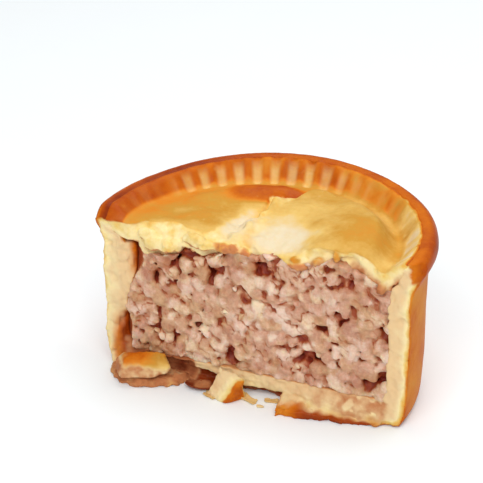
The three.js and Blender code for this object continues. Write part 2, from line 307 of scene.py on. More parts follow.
# %% Blur
def blurred(values, reach):
    """Mean over a small box round each grid point."""
    for axis in range(3):
        layers = np.moveaxis(values, axis, 0)
        first, last = np.repeat(layers[:1], reach + 1, 0), np.repeat(layers[-1:], reach, 0)
        sums = np.cumsum(np.concatenate([first, layers, last]), 0, dtype=np.float64)
        values = np.moveaxis((sums[2 * reach + 1:] - sums[:-2 * reach - 1]) / (2 * reach + 1), 0, axis)
    return values


# %% [markdown]
# Rough functions leave loose scraps beside a piece. Faces that share points get the same label, and only the
# largest group stays, so that each piece is one body. Normals are needed later, to raise relief.

# %% Cleaning a mesh
def largest_piece(points, quads):
    """Drops loose scraps: keeps the connected piece with the most faces."""
    label = np.arange(len(points))
    while True:
        lowest = label[quads].min(1)
        new = label.copy()
        for corner in range(quads.shape[1]):
            np.minimum.at(new, quads[:, corner], lowest)
        new = new[new]
        if np.array_equal(new, label):
            break
        label = new
    names, counts = np.unique(label[quads[:, 0]], return_counts=True)
    quads = quads[label[quads[:, 0]] == names[counts.argmax()]]
    used, flat = np.unique(quads, return_inverse=True)
    return points[used], flat.reshape(quads.shape)


def vertex_normals(points, quads):
    corner = points[quads]
    face = np.cross(corner[:, 2] - corner[:, 0], corner[:, 3] - corner[:, 1])
    normals = np.zeros_like(points)
    for n in range(4):
        np.add.at(normals, quads[:, n], face)
    return normals / np.maximum(np.linalg.norm(normals, axis=1, keepdims=True), 1e-12)


# %% [markdown]
# Colour could be painted on an image, but then the mesh would need an unwrapped map. Values kept on the
# points themselves need none, and the shader reads them by name.

# %% From points to an object
def to_object(name, points, quads, paint):
    """Blender object from points in millimetres, with its painted values as point attributes."""
    mesh = bpy.data.meshes.new(name)
    mesh.from_pydata((points * MM).tolist(), [], quads.tolist())
    mesh.shade_smooth()
    for label, values in paint.items():
        layer = mesh.attributes.new(label, "FLOAT", "POINT")
        layer.data.foreach_set("value", np.ascontiguousarray(values, dtype=np.float32))
    obj = bpy.data.objects.new(name, mesh)
    scene.collection.objects.link(obj)
    print(name, len(points), "points,", 2 * len(quads), "triangles")
    return obj


# %% [markdown]
# ## Sizes of the pie
# The same sizes as the solids: a rim 100 mm across, a wall of 6.3 mm and a lid that sinks below its
# crimped collar. The knife has pressed the rim down at the left end of the cut.

# %% Sizes
RIM_RADIUS, BASE_RADIUS, WALL_RADIUS = 50.0, 46.8, 47.3
CREST_HEIGHT, RIM_BULGE_HEIGHT, NECK_HEIGHT = 52.0, 48.6, 42.5
WALL_THICKNESS, BASE_THICKNESS = 6.3, 7.2
INNER_RADIUS = WALL_RADIUS - WALL_THICKNESS
SEAM_RADIUS = 44.8
LID_FOOT_RADIUS, LID_FOOT_HEIGHT, LID_FOOT_RISE = 39.4, 46.2, 2.2
LID_LEVEL, LID_THICKNESS = 47.2, 4.6
CRIMP_COUNT, CRIMP_DEPTH, CRIMP_PHASE = 49, 1.0, 3.4
CUT_Y = -6.2
RIM_DROOP, DROOP_LENGTH = 3.6, 6.5
WALL_SWELL, SWELL_FOOT, SWELL_FULL, SWELL_TOP = 3.4, 17.0, 33.0, 40.5
print("rim", 2 * RIM_RADIUS, "mm across, room inside", 2 * INNER_RADIUS, "mm across")

# %% [markdown]
# A baked rim is never level. Two slow waves round the axis follow the photographed rim, and the wall is
# thicker where the left end of the cut sags. To build the shifted rim from a level outline, every point asks
# which height it had before, and a small table holds the answers.

# %% Rim and wall out of true
def rim_shift(x, y):
    """How much the baked rim rises, and how far the knife has pressed it down at the cut."""
    turn = np.arctan2(y, x)
    wave = -0.27 * np.cos(2 * turn) + 0.72 * np.sin(2 * turn)
    wave = wave + 0.55 * np.cos(3 * turn) - 0.43 * np.sin(3 * turn)
    near_cut = faded(CUT_Y - 1, CUT_Y + DROOP_LENGTH, y)
    return wave - RIM_DROOP * near_cut**2 * eased(35, 42, -x)


def turn_from_right(x, y):
    """Angle round the axis in degrees, from the right end of the cut over the back to its left end."""
    turn = np.degrees(np.arctan2(y, x))
    return np.where(turn < -90, turn + 360, turn)


def wall_swell(x, y, z):
    """How much thicker the wall is inside, upwards, at the left end of the cut."""
    left_end = eased(24, 34, -x) * faded(CUT_Y + 4, CUT_Y + 20, y)
    return WALL_SWELL * left_end * eased(SWELL_FOOT, SWELL_FULL, z)


SHIFT_STEP, LEVEL_STEP = 0.1, 0.2
SHIFTS = np.arange(-5.0, 2.01, SHIFT_STEP)
LEVELS = np.arange(-4.0, 60.0, LEVEL_STEP)
raised = [LEVELS + eased(NECK_HEIGHT, CREST_HEIGHT - 3, LEVELS) * s for s in SHIFTS]
unraised = np.array([np.interp(LEVELS, up, LEVELS) for up in raised], dtype=np.float32)


def level_before(z, shift):
    """Height that a point had before the rim was shifted."""
    i, u = cell_of(shift, SHIFTS[0], SHIFT_STEP, len(SHIFTS))
    j, v = cell_of(z, LEVELS[0], LEVEL_STEP, len(LEVELS))
    near = blend(unraised[i, j], unraised[i, j + 1], v)
    return blend(near, blend(unraised[i + 1, j], unraised[i + 1, j + 1], v), u)


# %% [markdown]
# ## Pastry case
# A hot-water crust raised in a tin: a flat base, an upright wall and a rim rolled outward. The knife leaves
# a ragged face, a skewed lip of the base on the right, a hollow under its middle and a thin tongue of base
# crust on the left.

# %% Case outline
case_outside = [
    (-12, 0), (BASE_RADIUS - 2.4, 0), (BASE_RADIUS - 0.5, 1.4), (BASE_RADIUS, 5),
    (WALL_RADIUS - 0.2, 13), (WALL_RADIUS, 22), (WALL_RADIUS, 30), (WALL_RADIUS, 37),
    (WALL_RADIUS + 0.1, NECK_HEIGHT), (RIM_RADIUS - 1.3, RIM_BULGE_HEIGHT - 2.7),
    (RIM_RADIUS + 0.15, RIM_BULGE_HEIGHT), (RIM_RADIUS - 0.4, CREST_HEIGHT - 1.3),
    (RIM_RADIUS - 1.6, CREST_HEIGHT - 0.2), (RIM_RADIUS - 3, CREST_HEIGHT + 0.1),
]
case_inside = [
    (SEAM_RADIUS + 0.1, CREST_HEIGHT - 0.15), (SEAM_RADIUS, CREST_HEIGHT - 0.5),
    (SEAM_RADIUS - 0.3, CREST_HEIGHT - 3), (SEAM_RADIUS - 1.4, CREST_HEIGHT - 6),
    (INNER_RADIUS + 0.3, NECK_HEIGHT + 1), (INNER_RADIUS, NECK_HEIGHT - 1), (INNER_RADIUS, 30),
    (INNER_RADIUS, 18), (INNER_RADIUS - 0.1, 10), (INNER_RADIUS - 2, BASE_THICKNESS + 0.4),
    (INNER_RADIUS - 7, BASE_THICKNESS), (-12, BASE_THICKNESS),
]
case_outline = Outline(case_outside + case_inside)
hull_outline = Outline(case_outside + [(SEAM_RADIUS, CREST_HEIGHT), (-12, CREST_HEIGHT)])
print("case outline of", len(case_outside + case_inside), "corners")

# %% [markdown]
# The knife has not passed evenly through the base. How far the base stands out in front of the cut is given
# along X: negative where it is hollow, positive for the lip on the right. The tongue is a plan outline with
# a thickness.

# %% Tongue and lip of the base
TONGUE = [
    (-45.4, -3), (-44.6, -8), (-41.2, -14), (-36.5, -15.6), (-32, -16.4), (-28, -14.2), (-24.6, -12.6),
    (-20.6, -9.4), (-18.6, -3),
]
TONGUE_THICKNESS = 2.6
tongue_outline = Outline(TONGUE, rounds=2)
BASE_REACH = [
    (-30, 0), (-26, -2.4), (-22, -3.2), (-18.5, -2.6), (-14, -2.6), (-9, -2.0), (2, -2.4), (9, -2),
    (10.4, 8.0), (14, 7.6), (22, 5.8), (31, 4.4), (38.5, 2.8), (44, 0.6), (48, 0),
]
LIP_START = 9.0


def under_crust(x):
    """Thickness of the brown under crust that sticks out on the right."""
    return np.interp(x, (10, 16, 24, 36, 44), (3.4, 2.7, 2.0, 1.4, 0.9))


# %% [markdown]
# All of this goes into one function for the face that the knife has left: the lip, the hollow under the
# middle with its thin ledge, the rounded inner edge of the left wall and the ragged grain of the cut.

# %% Face of the cut
def inner_edge(x, z):
    """1 on the rounded inner edge of the left wall, beside the two gaps that the mince leaves there."""
    from_inside = np.hypot(x, CUT_Y) - INNER_RADIUS + wall_swell(x, CUT_Y, z)
    upper_gap = eased(29, 36, z) * faded(SWELL_TOP + 1, SWELL_TOP + 2.5, z)
    lower_gap = eased(BASE_THICKNESS, BASE_THICKNESS + 2, z) * faded(16, 21, z)
    return eased(24, 34, -x) * (upper_gap + lower_gap) * faded(0.0, 2.4, from_inside)


def case_front(x, z):
    """Where the knife left the case, as Y for each X and Z."""
    at, reach = np.array(BASE_REACH).T
    reach = np.interp(x, at, reach)
    thin = np.interp(x, (-19, -18, -12, -9, 9), (6.8, 5.0, 4.4, 2.9, 2.9))
    brown = under_crust(x) + 0.35 * uneven(x, 0, 5, 3, 16)
    brown_lip = faded(brown - 0.5, brown + 0.3, z)
    slope_lip = 0.55 * eased(LIP_START, 26, x) * faded(2.0, BASE_THICKNESS + 0.8, z)
    ledge = faded(0.8, 1.4, z) * faded(-11, -8, x)
    recessed = faded(thin - 1.0, thin, z) * (1 - ledge)
    lip = np.where(x < LIP_START, recessed, np.maximum(brown_lip, slope_lip))
    ragged = 0.45 * rough(x, 0, z, 4.5, 11) + 0.25 * uneven(x, 3, z, 1.6, 14)
    rim_end = 2.6 * eased(46.2, 49.8, x) * eased(42.5, 45.5, z)
    torn_lip = reach * lip * (1 + 0.15 * uneven(x, 9, 0, 2.2, 15))
    return CUT_Y + ragged - torn_lip + 2.6 * inner_edge(x, z) + rim_end


# %% [markdown]
# The outline is read at every grid point with an uneven radius and with the height that the point had before
# the rim was pressed. The thicker left wall and the tongue are joined on, and the knife's ragged face is cut
# away last.

# %% Case mesh
CASE_STEP, CASE_FAR_STEP = 0.47, 1.05


def case_radius(x, y, z):
    """Distance from the axis, made uneven. The left end of the cut has a wavy torn edge."""
    left_end = eased(30, 40, -x) * faded(CUT_Y + 1, CUT_Y + 7, y)
    wavy = 0.75 * uneven(3, 0, z, 7, 21) + 0.35 * uneven(5, 0, z, 2.8, 22)
    return np.hypot(x, y) + 0.25 * uneven(x, y, z, 14, 20) + left_end * wavy


def tongue(x, y, z):
    plan = tongue_outline(x + 0 * y, y + 0 * x)
    top = TONGUE_THICKNESS + 0.6 * uneven(x, y, 0, 3.5, 17) - 1.5 * eased(-2.8, 0.2, plan)
    ragged = plan + 0.6 * uneven(x, y, z, 1.8, 18)
    return overlap(ragged, overlap(z - top, -z, 0.3), 0.6)


block = Block((-52, -18.5, -1.2), (52, 52, 54.5), CASE_STEP, CASE_FAR_STEP)
level = level_before(block.z, rim_shift(block.x, block.y))
case_shell = case_outline(case_radius(block.x, block.y, block.z), level)
swell = wall_swell(block.x, block.y, block.z)
swollen = INNER_RADIUS - swell + 0.4 * uneven(block.x, block.y, block.z, 4, 23)
thicker = np.where(swell > 0.05, swollen - np.hypot(block.x, block.y), 9)
thicker = overlap(thicker, np.hypot(block.x, block.y) - INNER_RADIUS - 1, 0.3)
thicker = overlap(thicker, overlap(block.z - SWELL_TOP - 1, SWELL_FOOT - block.z, 1.5), 1.5)
case_field = overlap(joined(case_shell, thicker, 1.0), case_front(block.x, block.z) - block.y, 0.35)
case_field = joined(case_field, tongue(block.x, block.y, block.z), 0.5)
case_points, case_quads = largest_piece(*block.mesh(case_field))
print("case from", case_points.min(0).round(1), "to", case_points.max(0).round(1), "mm")

# %% [markdown]
# The cut face gets pits and fine upright strands, because pastry tears in layers along the wall. The baked
# skin stays nearly smooth. The points move along their normals, so this relief is real shape.

# %% Case relief
FLOOR_GAP = 0.02
x, y, z = case_points.T
level = level_before(z, rim_shift(x, y))
radius = case_radius(x, y, z)
depth = -hull_outline(radius, level)
behind_cut = y - case_front(x, z)
on_cut = faded(0.15, 0.7, behind_cut)
pits = eased(0.1, 0.8, rough(x, y, z, 2.2, 31, 2))
strands = uneven(1.6 * depth, 0, 0.25 * z, 0.8, 33)
raise_cut = 0.35 * uneven(x, y, z, 2.6, 38) - 0.5 * pits + 0.22 * uneven(x, y, z, 0.9, 32) + 0.2 * strands
raise_skin = 0.05 * uneven(x, y, z, 2.5, 34)
case_normals = vertex_normals(case_points, case_quads)
case_points = case_points + case_normals * (on_cut * raise_cut + (1 - on_cut) * raise_skin)[:, None]
case_points[:, 2] = np.maximum(case_points[:, 2], FLOOR_GAP)
print("cut relief", np.percentile(raise_cut[on_cut > 0.5], [5, 50, 95]).round(2), "mm")

# %% [markdown]
# Painted values go with the points, and the finish turns them into colour later. The first is the skin:
# 1 where baked crust is left, 0 where the knife or a tear shows the dough.

# %% Case skin
behind = y - CUT_Y
on_tongue = eased(0.6, 1.6, -behind_cut) * faded(2.2, 3.6, z)
inner_face = np.abs(radius - INNER_RADIUS + wall_swell(x, y, z))
inner_face = inner_face * eased(BASE_THICKNESS, BASE_THICKNESS + 1, z)
inner_face = np.minimum(np.abs(case_outline(radius, level)), inner_face)
on_inside = eased(3.0, 4.5, depth) * faded(0.3, 1.0, inner_face) * (1 - on_cut)
edge_share = inner_edge(x, z) + 0.12 * rough(x, y, z, 2.5, 19)
on_inside = np.maximum(on_inside, eased(0.05, 0.9, edge_share) * faded(3, 4, behind))
on_crown = eased(CREST_HEIGHT - 2.4, CREST_HEIGHT - 1.2, level) * (1 - on_cut)
on_left_tip = eased(WALL_RADIUS + 0.2, WALL_RADIUS + 1.2, -x)
on_left_tip = on_left_tip * eased(NECK_HEIGHT - 1, NECK_HEIGHT + 1.5, level)
on_right_tip = eased(46.2, 47.0, x + 0.9 * rough(x, y, z, 2.0, 27)) * eased(45.4, 46.6, level)
on_lip = eased(LIP_START, LIP_START + 1, x) * eased(0.3, 1.0, -behind)
on_under_crust = on_lip * faded(-0.5, 0.1, z - under_crust(x)) * faded(36, 42, x)
# Painted shade: the hollow under the middle band and the thin ledge at its left get the darkest brown crust.
shade_below_band = eased(-19, -17, x) * faded(LIP_START - 0.5, LIP_START, x) * eased(0.6, 1.4, behind)
shade_below_band = shade_below_band * faded(2.6, 3.2, z - 1.6 * faded(-12, -9, x))
on_ledge = eased(-20, -18, x) * faded(-10, -8, x) * faded(1.4, 1.9, z)
shade_below_band = np.maximum(shade_below_band, on_ledge * (1 - on_tongue)) * faded(8, 12, behind)
foot = eased(36, 39, -x) * faded(2, 4, behind) * faded(12, 21, z) * (1 - on_tongue)
foot = foot * eased(1.6, 4.2, depth + 0.5 * rough(x, y, z, 3, 26) + 1.4 * faded(4, 12, z))
torn_left = eased(40, 43, -x) * faded(CUT_Y + 1.2, CUT_Y + 2.2, y)
torn_left = torn_left * faded(NECK_HEIGHT - 2, NECK_HEIGHT, level)
outer_skin = faded(0.15, 0.55, depth) * (1 - 0.8 * torn_left)
baked_ends = np.maximum.reduce([on_crown, on_left_tip, on_right_tip])
skin = np.maximum.reduce([outer_skin, baked_ends, on_inside, on_under_crust, shade_below_band, 0.95 * foot])
print("skin on", round(100 * float(np.mean(skin > 0.5))), "% of the case")

# %% [markdown]
# The oven browns the rim most, the wall less and the inside of the wall where meat juice has boiled up. The
# crest of the rim is brighter on the right than on the left. The darkest brown under the middle band and the
# inside of the wall growing browner further back from the cut are painted shade.

# %% Case browning
turn = turn_from_right(x, y)
bake = 0.64 + 0.17 * eased(41.5, 47, level) + 0.08 * rough(x, y, z, 10, 35) + 0.08 * faded(0, 4, z)
bake = bake + 0.08 * eased(48.4, 49.8, radius) - 0.2 * on_left_tip * faded(CUT_Y + 1, CUT_Y + 4, y)
bake = bake + on_under_crust * (0.28 * eased(13, 19, x) - 0.06)
bright_crest = 0.09 * faded(40, 90, turn) * faded(47.0, 48.6, radius)
left_rim = 0.17 * eased(100, 145, turn) * (1 - 1.1 * eased(46.0, 48.4, radius))
bake = bake + eased(44, 47, level) * (left_rim - bright_crest)
# Painted shade: the darkest brown under the middle band.
bake = blend(bake, 1.0, shade_below_band)
# Painted shade: further back from the cut the inside of the wall is browner, deep in the gaps beside the
# mince.
bake = blend(bake, 0.58 + 0.3 * eased(1.0, 4.0, behind) + 0.08 * rough(x, y, z, 5, 24), on_inside)
bake = blend(bake, 0.62 + 0.3 * eased(3.0, 6.4, depth), foot)
print("browning", np.percentile(bake, [5, 50, 95]).round(2))

# %% [markdown]
# Juice soaks into the base from the filling: strongly in the recess on the left and in the tongue, more
# lightly in the lip on the right, where spots of fat stay pale. The near black-brown of the recess is also
# painted shade. Dough is yellow just below the skin and creamier further in, so the depth below the skin is
# painted too.

# %% Case juice, painted shade and object
fat_spots = eased(0.2, 0.7, uneven(x, y, z, 1.5, 39)) * eased(24, 32, x) * eased(2.5, 3.5, z)
on_base = faded(BASE_THICKNESS - 0.4, BASE_THICKNESS + 0.8, z) * eased(-20, -16, x) * faded(40, 43, x)
base_soak = 0.12 + 0.14 * rough(x, y, z, 3.5, 36) + 0.25 * eased(17, 29, x) - 0.5 * fat_spots
base_soak = base_soak * on_base * (1 - 0.8 * on_under_crust)
near_cut = eased(-1.6, -0.8, behind) * faded(6, 9, behind) * (1 - on_tongue)
# Painted shade and juice: the recess is soaked nearly to the darkest colour.
recess = hill(x + 23.5, 4.2) * faded(5.0, 7.4, z) * near_cut
left_base = 0.75 * faded(-20, -16.5, x) * eased(-42, -37, x) * faded(7.4, 9.4, z) * near_cut
on_floor = on_inside * faded(BASE_THICKNESS + 1, BASE_THICKNESS + 3, z)
mottled = 0.52 + 0.2 * rough(x, y, z, 3.0, 25)
soak_and_shade = np.maximum.reduce([mottled * on_tongue, on_cut * base_soak, left_base, 0.95 * recess, 0.4 * on_floor])
inside = depth / 7 + 0.3 * eased(34, 42, x) * eased(0.4, 2.8, depth)
inside = inside + 0.2 * rough(x, y, z, 4, 37) + 0.22 * torn_left * faded(2, 5, depth)
paint = {
    "bake": bake, "skin": skin * (1 - 0.7 * on_tongue), "depth": np.clip(inside, 0.05, 0.8), "soak_and_shade": soak_and_shade,
}
pastry_case = to_object("pie_case", case_points, case_quads, paint)

# %% [markdown]
# ## Lid
# The lid sinks below a collar that is pinched all round with a fluted tool. Its right half is domed and
# golden, its left half lies lower, and a torn step runs between them. Near the cut the golden skin is torn
# away and the edge shows pale dough, broken into chunky teeth. The top and the underside are height fields,
# because a lid has one height at each place. Only its torn edge needs more.

# %% Lid plate
def lid_dome(x, y):
    """Height of the dome on the right."""
    return 5.2 * np.exp(-(((x - 26) / 16) ** 2) - ((y - 6) / 22) ** 2)


def beyond_step(x, y):
    """Distance into the raised right part, which ends at the torn step and before the brown crescent."""
    right_of_step = x + 8.6 - 0.14 * np.clip(y, CUT_Y, 40)
    before_crescent = 25.5 + 0.25 * (x + 5.2) - y + 14 * eased(-1, 6, x)
    return np.minimum(right_of_step, before_crescent) + 1.6 * rough(x, y, 0, 4.2, 41)


def torn_share(x, y):
    """1 where the golden skin is torn off: a band along the step that widens towards the cut."""
    off = beyond_step(x, y) + 1.3 * rough(x, y, 5, 3.5, 54)
    front = faded(CUT_Y, 16, y)
    left = 1.8 + 4.5 * front
    right = 3.0 + 23 * front**1.5
    return eased(-left - 1, -left + 0.6, off) * faded(right - 5, right + 4, off) * faded(26, 31, y)


def lid_plate(x, y):
    """Heights of the sunken plate and of the foot of its collar."""
    off = beyond_step(x, y)
    right = eased(-0.8, 0.9, off)
    left_swell = 2.2 * hill(x + 24, 11) * hill(y + 6, 16)
    blister = 1.7 * hill(x + 11, 12) * hill(y - 31, 5) * (1 - right)
    crack = 0.9 * hill(off + 1.0, 1.4) * eased(-6, 6, y)
    lumpy = 0.8 + 0.9 * uneven(x, y, 0, 2.6, 65)
    lip = lumpy * hill(off - 1.4, 1.6) * eased(-2, 6, y) * faded(24, 33, y)
    dip = 2.6 * hill(x - 9, 9) * hill(y + 6, 9)
    crumple = 0.7 * uneven(x, y, 0, 8, 42) + 0.2 * uneven(x, y, 0, 2.6, 43)
    flaky = np.floor(3 * rough(x, y, 0, 4.0, 56)) / 3 + 0.4 * uneven(x, y, 0, 1.2, 59)
    rise = right * (1.0 + 0.9 * eased(0, 20, y) + lid_dome(x, y))
    height = LID_LEVEL + rise + left_swell + blister - crack + lip - dip + crumple
    height = height + torn_share(x, y) * (0.5 * flaky - 0.3)
    foot = LID_FOOT_HEIGHT + LID_FOOT_RISE * faded(CUT_Y, CUT_Y + 28, y)
    return height, foot


# %% [markdown]
# The collar climbs from the plate to the crest of the rim. Its grooves could be cut out one by one, but a
# wave round the axis presses them all at once, and its strength says where the tool was pressed hard.

# %% Lid collar
CLIMB_AT = (36.0, 39.4, 40.4, 41.4, 42.4, 43.2, 43.8, 44.3, 46.0)
CLIMB = (0.0, 0.0, 0.13, 0.36, 0.62, 0.82, 0.94, 1.0, 1.0)


def flute(x, y):
    """1 in the middle of a pressed groove, 0 on a ridge."""
    turn = np.arctan2(y, x)
    phase = CRIMP_COUNT * turn - CRIMP_PHASE + 0.6 * uneven(turn * 45, 0, 0, 8, 44)
    return eased(0.08, 0.92, 0.5 + 0.5 * np.cos(phase))


def flute_strength(x, y):
    """How deep the grooves are pressed. They fade out towards both ends of the cut."""
    turn = turn_from_right(x, y)
    varied = 1 + 0.3 * uneven(turn, 0, 0, 6, 40)
    pressed = np.interp(turn, (25, 50, 68, 82, 92, 136, 152), (0.05, 0.12, 0.3, 0.7, 1.0, 1.0, 0.08))
    return pressed * varied


def collar_folds(x, y):
    """Irregular creases that run up the collar at its right end, where it was not fluted."""
    arc = np.radians(turn_from_right(x, y)) * LID_FOOT_RADIUS
    return uneven(arc, 0.3 * np.hypot(x, y), 0, 2.6, 57) + 0.5 * rough(x, y, 0, 1.8, 58)


def lid_top(x, y):
    """Height of the top: the plate, the climb of the collar, its pressed grooves and its folds."""
    radius = np.hypot(x, y)
    turn = turn_from_right(x, y)
    height, foot = lid_plate(x, y)
    height = blend(height, foot, eased(32, LID_FOOT_RADIUS, radius))
    crest = CREST_HEIGHT - 0.25 + 0.3 * eased(45, 70, turn) + rim_shift(x, y)
    share = eased(38.8, 40.4, radius) * faded(43.6, 45.0, radius)
    pressed = 1.4 * CRIMP_DEPTH * share * flute(x, y) * flute_strength(x, y)
    flaky = 0.4 * collar_folds(x, y) * eased(39.0, 41, radius) * faded(40, 80, turn)
    seam = 0.25 * hill(radius - 44.9, 0.5) * faded(40, 60, turn) * (1 + uneven(x, y, 0, 1.5, 58))
    return height + np.interp(radius, CLIMB_AT, CLIMB) * (crest - foot) - pressed + flaky + seam


# %% [markdown]
# At the cut the underside of the lid follows the heights that the photo shows, given along X. Further back
# it runs one lid thickness below the plain level and the dome.

# %% Lid underside and torn edge
LID_EDGE = [
    (-42, 42.9), (-38, 42.4), (-36.2, 40.8), (-34.4, 39.1), (-32, 38.7), (-28.6, 38.8), (-25.5, 39.4),
    (-23, 40.6), (-21.2, 44.2), (-19, 42.6), (-16, 41.8), (-13.4, 41.6), (-10.6, 43.6), (-8.2, 45), (3, 45.2),
    (14, 45), (18, 46.2), (23, 47.8), (27, 47.4), (32, 46), (35.4, 44.6), (38, 43.8), (42, 42.9),
]


def lid_under(x, y):
    """Height of the underside, which hangs unevenly over the mince at the cut."""
    at, edge = np.array(LID_EDGE).T
    near_cut = faded(CUT_Y + 3, CUT_Y + 11, y)
    under = blend(LID_LEVEL - LID_THICKNESS + lid_dome(x, y), np.interp(x, at, edge), near_cut)
    hanging = 0.7 * rough(x, y, 0, 3.0, 49) * faded(CUT_Y + 1, CUT_Y + 10, y)
    return blend(under + hanging, NECK_HEIGHT + 0.4, eased(36, INNER_RADIUS, np.hypot(x, y)))


def lid_front(x, z):
    """Where the torn edge of the lid lies, as Y for each X and Z. Its ends follow the case."""
    inner = faded(34, 39, np.abs(x))
    tear = 2.6 * eased(45.5, 49.5, z) * (0.6 + hill(x + 20, 16) + 0.5 * uneven(x, 4, 0, 8, 45))
    tear = tear + 1.5 * eased(-0.3, 0.3, uneven(x, 6, z, 5.0, 66)) * faded(12, 18, x)
    ragged = 0.6 * uneven(x, 1, 2.2 * z, 4.0, 47) + 0.6 * uneven(x, 2, z, 2.2, 48)
    return blend(case_front(x, z), CUT_Y + 0.3 + tear + ragged, inner)


# %% [markdown]
# Bits of dough, browned juice and amber fat stick to the torn edge. Each is a flattened ball, joined softly
# to the lid, with its middle, its half sizes and what it is made of.

# %% Bits on the torn edge
LID_BITS = [
    ((-7.6, -6.0, 46.0), (3.6, 1.6, 1.3), "juice"), ((-2.8, -5.4, 45.4), (1.8, 1.5, 1.0), "juice"),
    ((13.6, -5.8, 44.9), (3.0, 1.5, 1.0), "juice"), ((38.2, -6.6, 43.0), (1.3, 1.1, 1.5), "amber"),
    ((19.2, -5.8, 47.4), (1.4, 1.2, 1.2), "amber"), ((24.4, -5.0, 49.4), (1.0, 1.0, 1.5), "amber"),
    ((12.6, -5.6, 46.4), (1.4, 1.1, 1.0), "amber"), ((-18.6, -5.8, 47.3), (3.0, 1.8, 1.4), "dough"),
    ((-16.2, -6.3, 46.8), (2.5, 1.6, 1.4), "dough"), ((-13.9, -6.4, 45.6), (2.0, 1.4, 1.2), "dough"),
    ((-30.4, -6.4, 43.4), (3.3, 1.7, 2.2), "dough"), ((-25.6, -6.7, 43.7), (2.6, 1.9, 1.9), "dough"),
    ((-33.4, -6.0, 46.3), (2.0, 1.4, 1.3), "dough"),
]
BIT_JOIN = {"juice": 0.7, "amber": 0.7, "dough": 1.3}
BIT_BAKE = {"juice": 0.82, "amber": 0.5}
BIT_SOAK = {"juice": 0.28, "amber": 0.0}


def from_bit(x, y, z, middle, half):
    """0 in the middle of a bit, 1 on its surface."""
    (bx, by, bz), (rx, ry, rz) = middle, half
    return np.sqrt(((x - bx) / rx) ** 2 + ((y - by) / ry) ** 2 + ((z - bz) / rz) ** 2)


print(len(LID_BITS), "bits on the torn edge")

# %% [markdown]
# The lid is what lies between its two height fields, inside the room that the case leaves for it and behind
# its torn edge. The bits are joined on last, and a light blur softens the whole.

# %% Lid mesh
LID_STEP, LID_FAR_STEP = 0.31, 0.64
lid_hull = Outline([
    (-12, 20), (38.5, 20), (INNER_RADIUS - 0.8, NECK_HEIGHT), (INNER_RADIUS - 0.2, NECK_HEIGHT + 1),
    (SEAM_RADIUS - 1.5, CREST_HEIGHT - 5.7), (SEAM_RADIUS - 0.3, CREST_HEIGHT - 3),
    (SEAM_RADIUS + 0.3, CREST_HEIGHT - 1.2), (SEAM_RADIUS + 0.9, CREST_HEIGHT),
    (SEAM_RADIUS + 0.9, CREST_HEIGHT + 5), (-12, CREST_HEIGHT + 5),
])
block = Block((-46, -9.5, 36.5), (46, 46, 54), LID_STEP, LID_FAR_STEP)
x, y, z = block.x, block.y, block.z
radius = np.hypot(x, y)
top = lid_top(x, y)
under = lid_under(x, y)
steep = blend(0.95, 0.7, eased(38, 42, radius))
lid_field = overlap((z - top) * steep, under - z, 0.5)
at_ends = eased(34, 38, np.abs(x)) * faded(CUT_Y + 2, CUT_Y + 9, y)
hull_radius = case_radius(x, y, z) - 0.12 - 0.7 * at_ends
lid_field = overlap(lid_field, lid_hull(hull_radius, level_before(z, rim_shift(x, y))), 0.3)
lid_field = overlap(lid_field, lid_front(x, z) - y, 0.35)
for middle, half, kind in LID_BITS:
    bit = (from_bit(x, y, z, middle, half) - 1) * half[2] + 0.4 * uneven(x, y, z, 1.4, 50)
    lid_field = joined(lid_field, bit, BIT_JOIN[kind])
lid_points, lid_quads = largest_piece(*block.mesh(blurred(lid_field, 1)))
print("lid from", lid_points.min(0).round(1), "to", lid_points.max(0).round(1), "mm")

# %% [markdown]
# As on the case, the torn edge is pitted and the baked skin nearly smooth.

# %% Lid relief
x, y, z = lid_points.T
radius = np.hypot(x, y)
turn = turn_from_right(x, y)
depth = lid_top(x, y) - z
on_front = eased(0.3, 0.9, depth)
pits = eased(0.3, 0.65, uneven(x, y, z, 1.4, 51))
raise_front = -0.42 * pits + 0.3 * uneven(x, y, z, 2.0, 52) + 0.16 * uneven(x, y, z, 0.8, 72)
raise_skin = 0.05 * uneven(x, y, z, 1.6, 53)
lid_normals = vertex_normals(lid_points, lid_quads)
lid_points = lid_points + lid_normals * (on_front * raise_front + (1 - on_front) * raise_skin)[:, None]
print("edge relief", np.percentile(raise_front[on_front > 0.5], [5, 50, 95]).round(2), "mm")

# %% [markdown]
# The plate is golden, palest beside the step and at the cut. Along the foot of the collar on the right it is
# a little more olive, both its own colour and painted shade. The ridges of the collar are browned more and
# more from its right end to its left end, and a brown crescent lies behind the step.

# %% Lid browning
off_step = beyond_step(x, y)
near_foot = eased(30, 38.5, radius)
plate_bake = 0.46 + 0.08 * rough(x, y, 0, 9, 55) + 0.02 * faded(-3, 0, off_step)
# Along the foot of the collar on the right the plate is a little more olive: partly painted shade.
plate_bake = plate_bake - 0.05 * near_foot * faded(40, 70, turn) - 0.1 * faded(CUT_Y + 2, CUT_Y + 10, y)
plate_bake = plate_bake + 0.06 * near_foot * eased(135, 165, turn)
plate_bake = plate_bake - 0.3 * hill(off_step - 8, 17) * hill(y - 6, 22)
ridge = np.interp(turn, (5, 25, 50, 75, 90, 146, 166), (0.16, 0.24, 0.54, 0.58, 0.67, 0.73, 0.8))
blotches = 0.13 * rough(x, y, 0, 4, 60) * faded(130, 150, turn)
blotches = blotches + 0.1 * collar_folds(x, y) * faded(40, 80, turn)
pale_seam = 0.4 * hill(radius - 44.9, 0.35) * faded(40, 58, turn) * eased(-0.5, 0.5, uneven(x, y, 0, 2, 63))
collar_bake = blend(ridge + blotches, 0.8, eased(44.2, 45.2, radius)) - pale_seam
crescent = hill(x + 8.5, 13.5) * hill(y - 28.4 - 0.16 * (x + 8), 6 - 0.18 * (x + 8))
crescent = 0.38 * eased(0.2, 0.7, crescent) * faded(-0.5, 0.8, off_step)
on_collar = eased(0.02, 0.3, np.interp(radius, CLIMB_AT, CLIMB))
bake = blend(plate_bake, collar_bake, on_collar) + crescent
print("browning", np.percentile(bake, [5, 50, 95]).round(2))
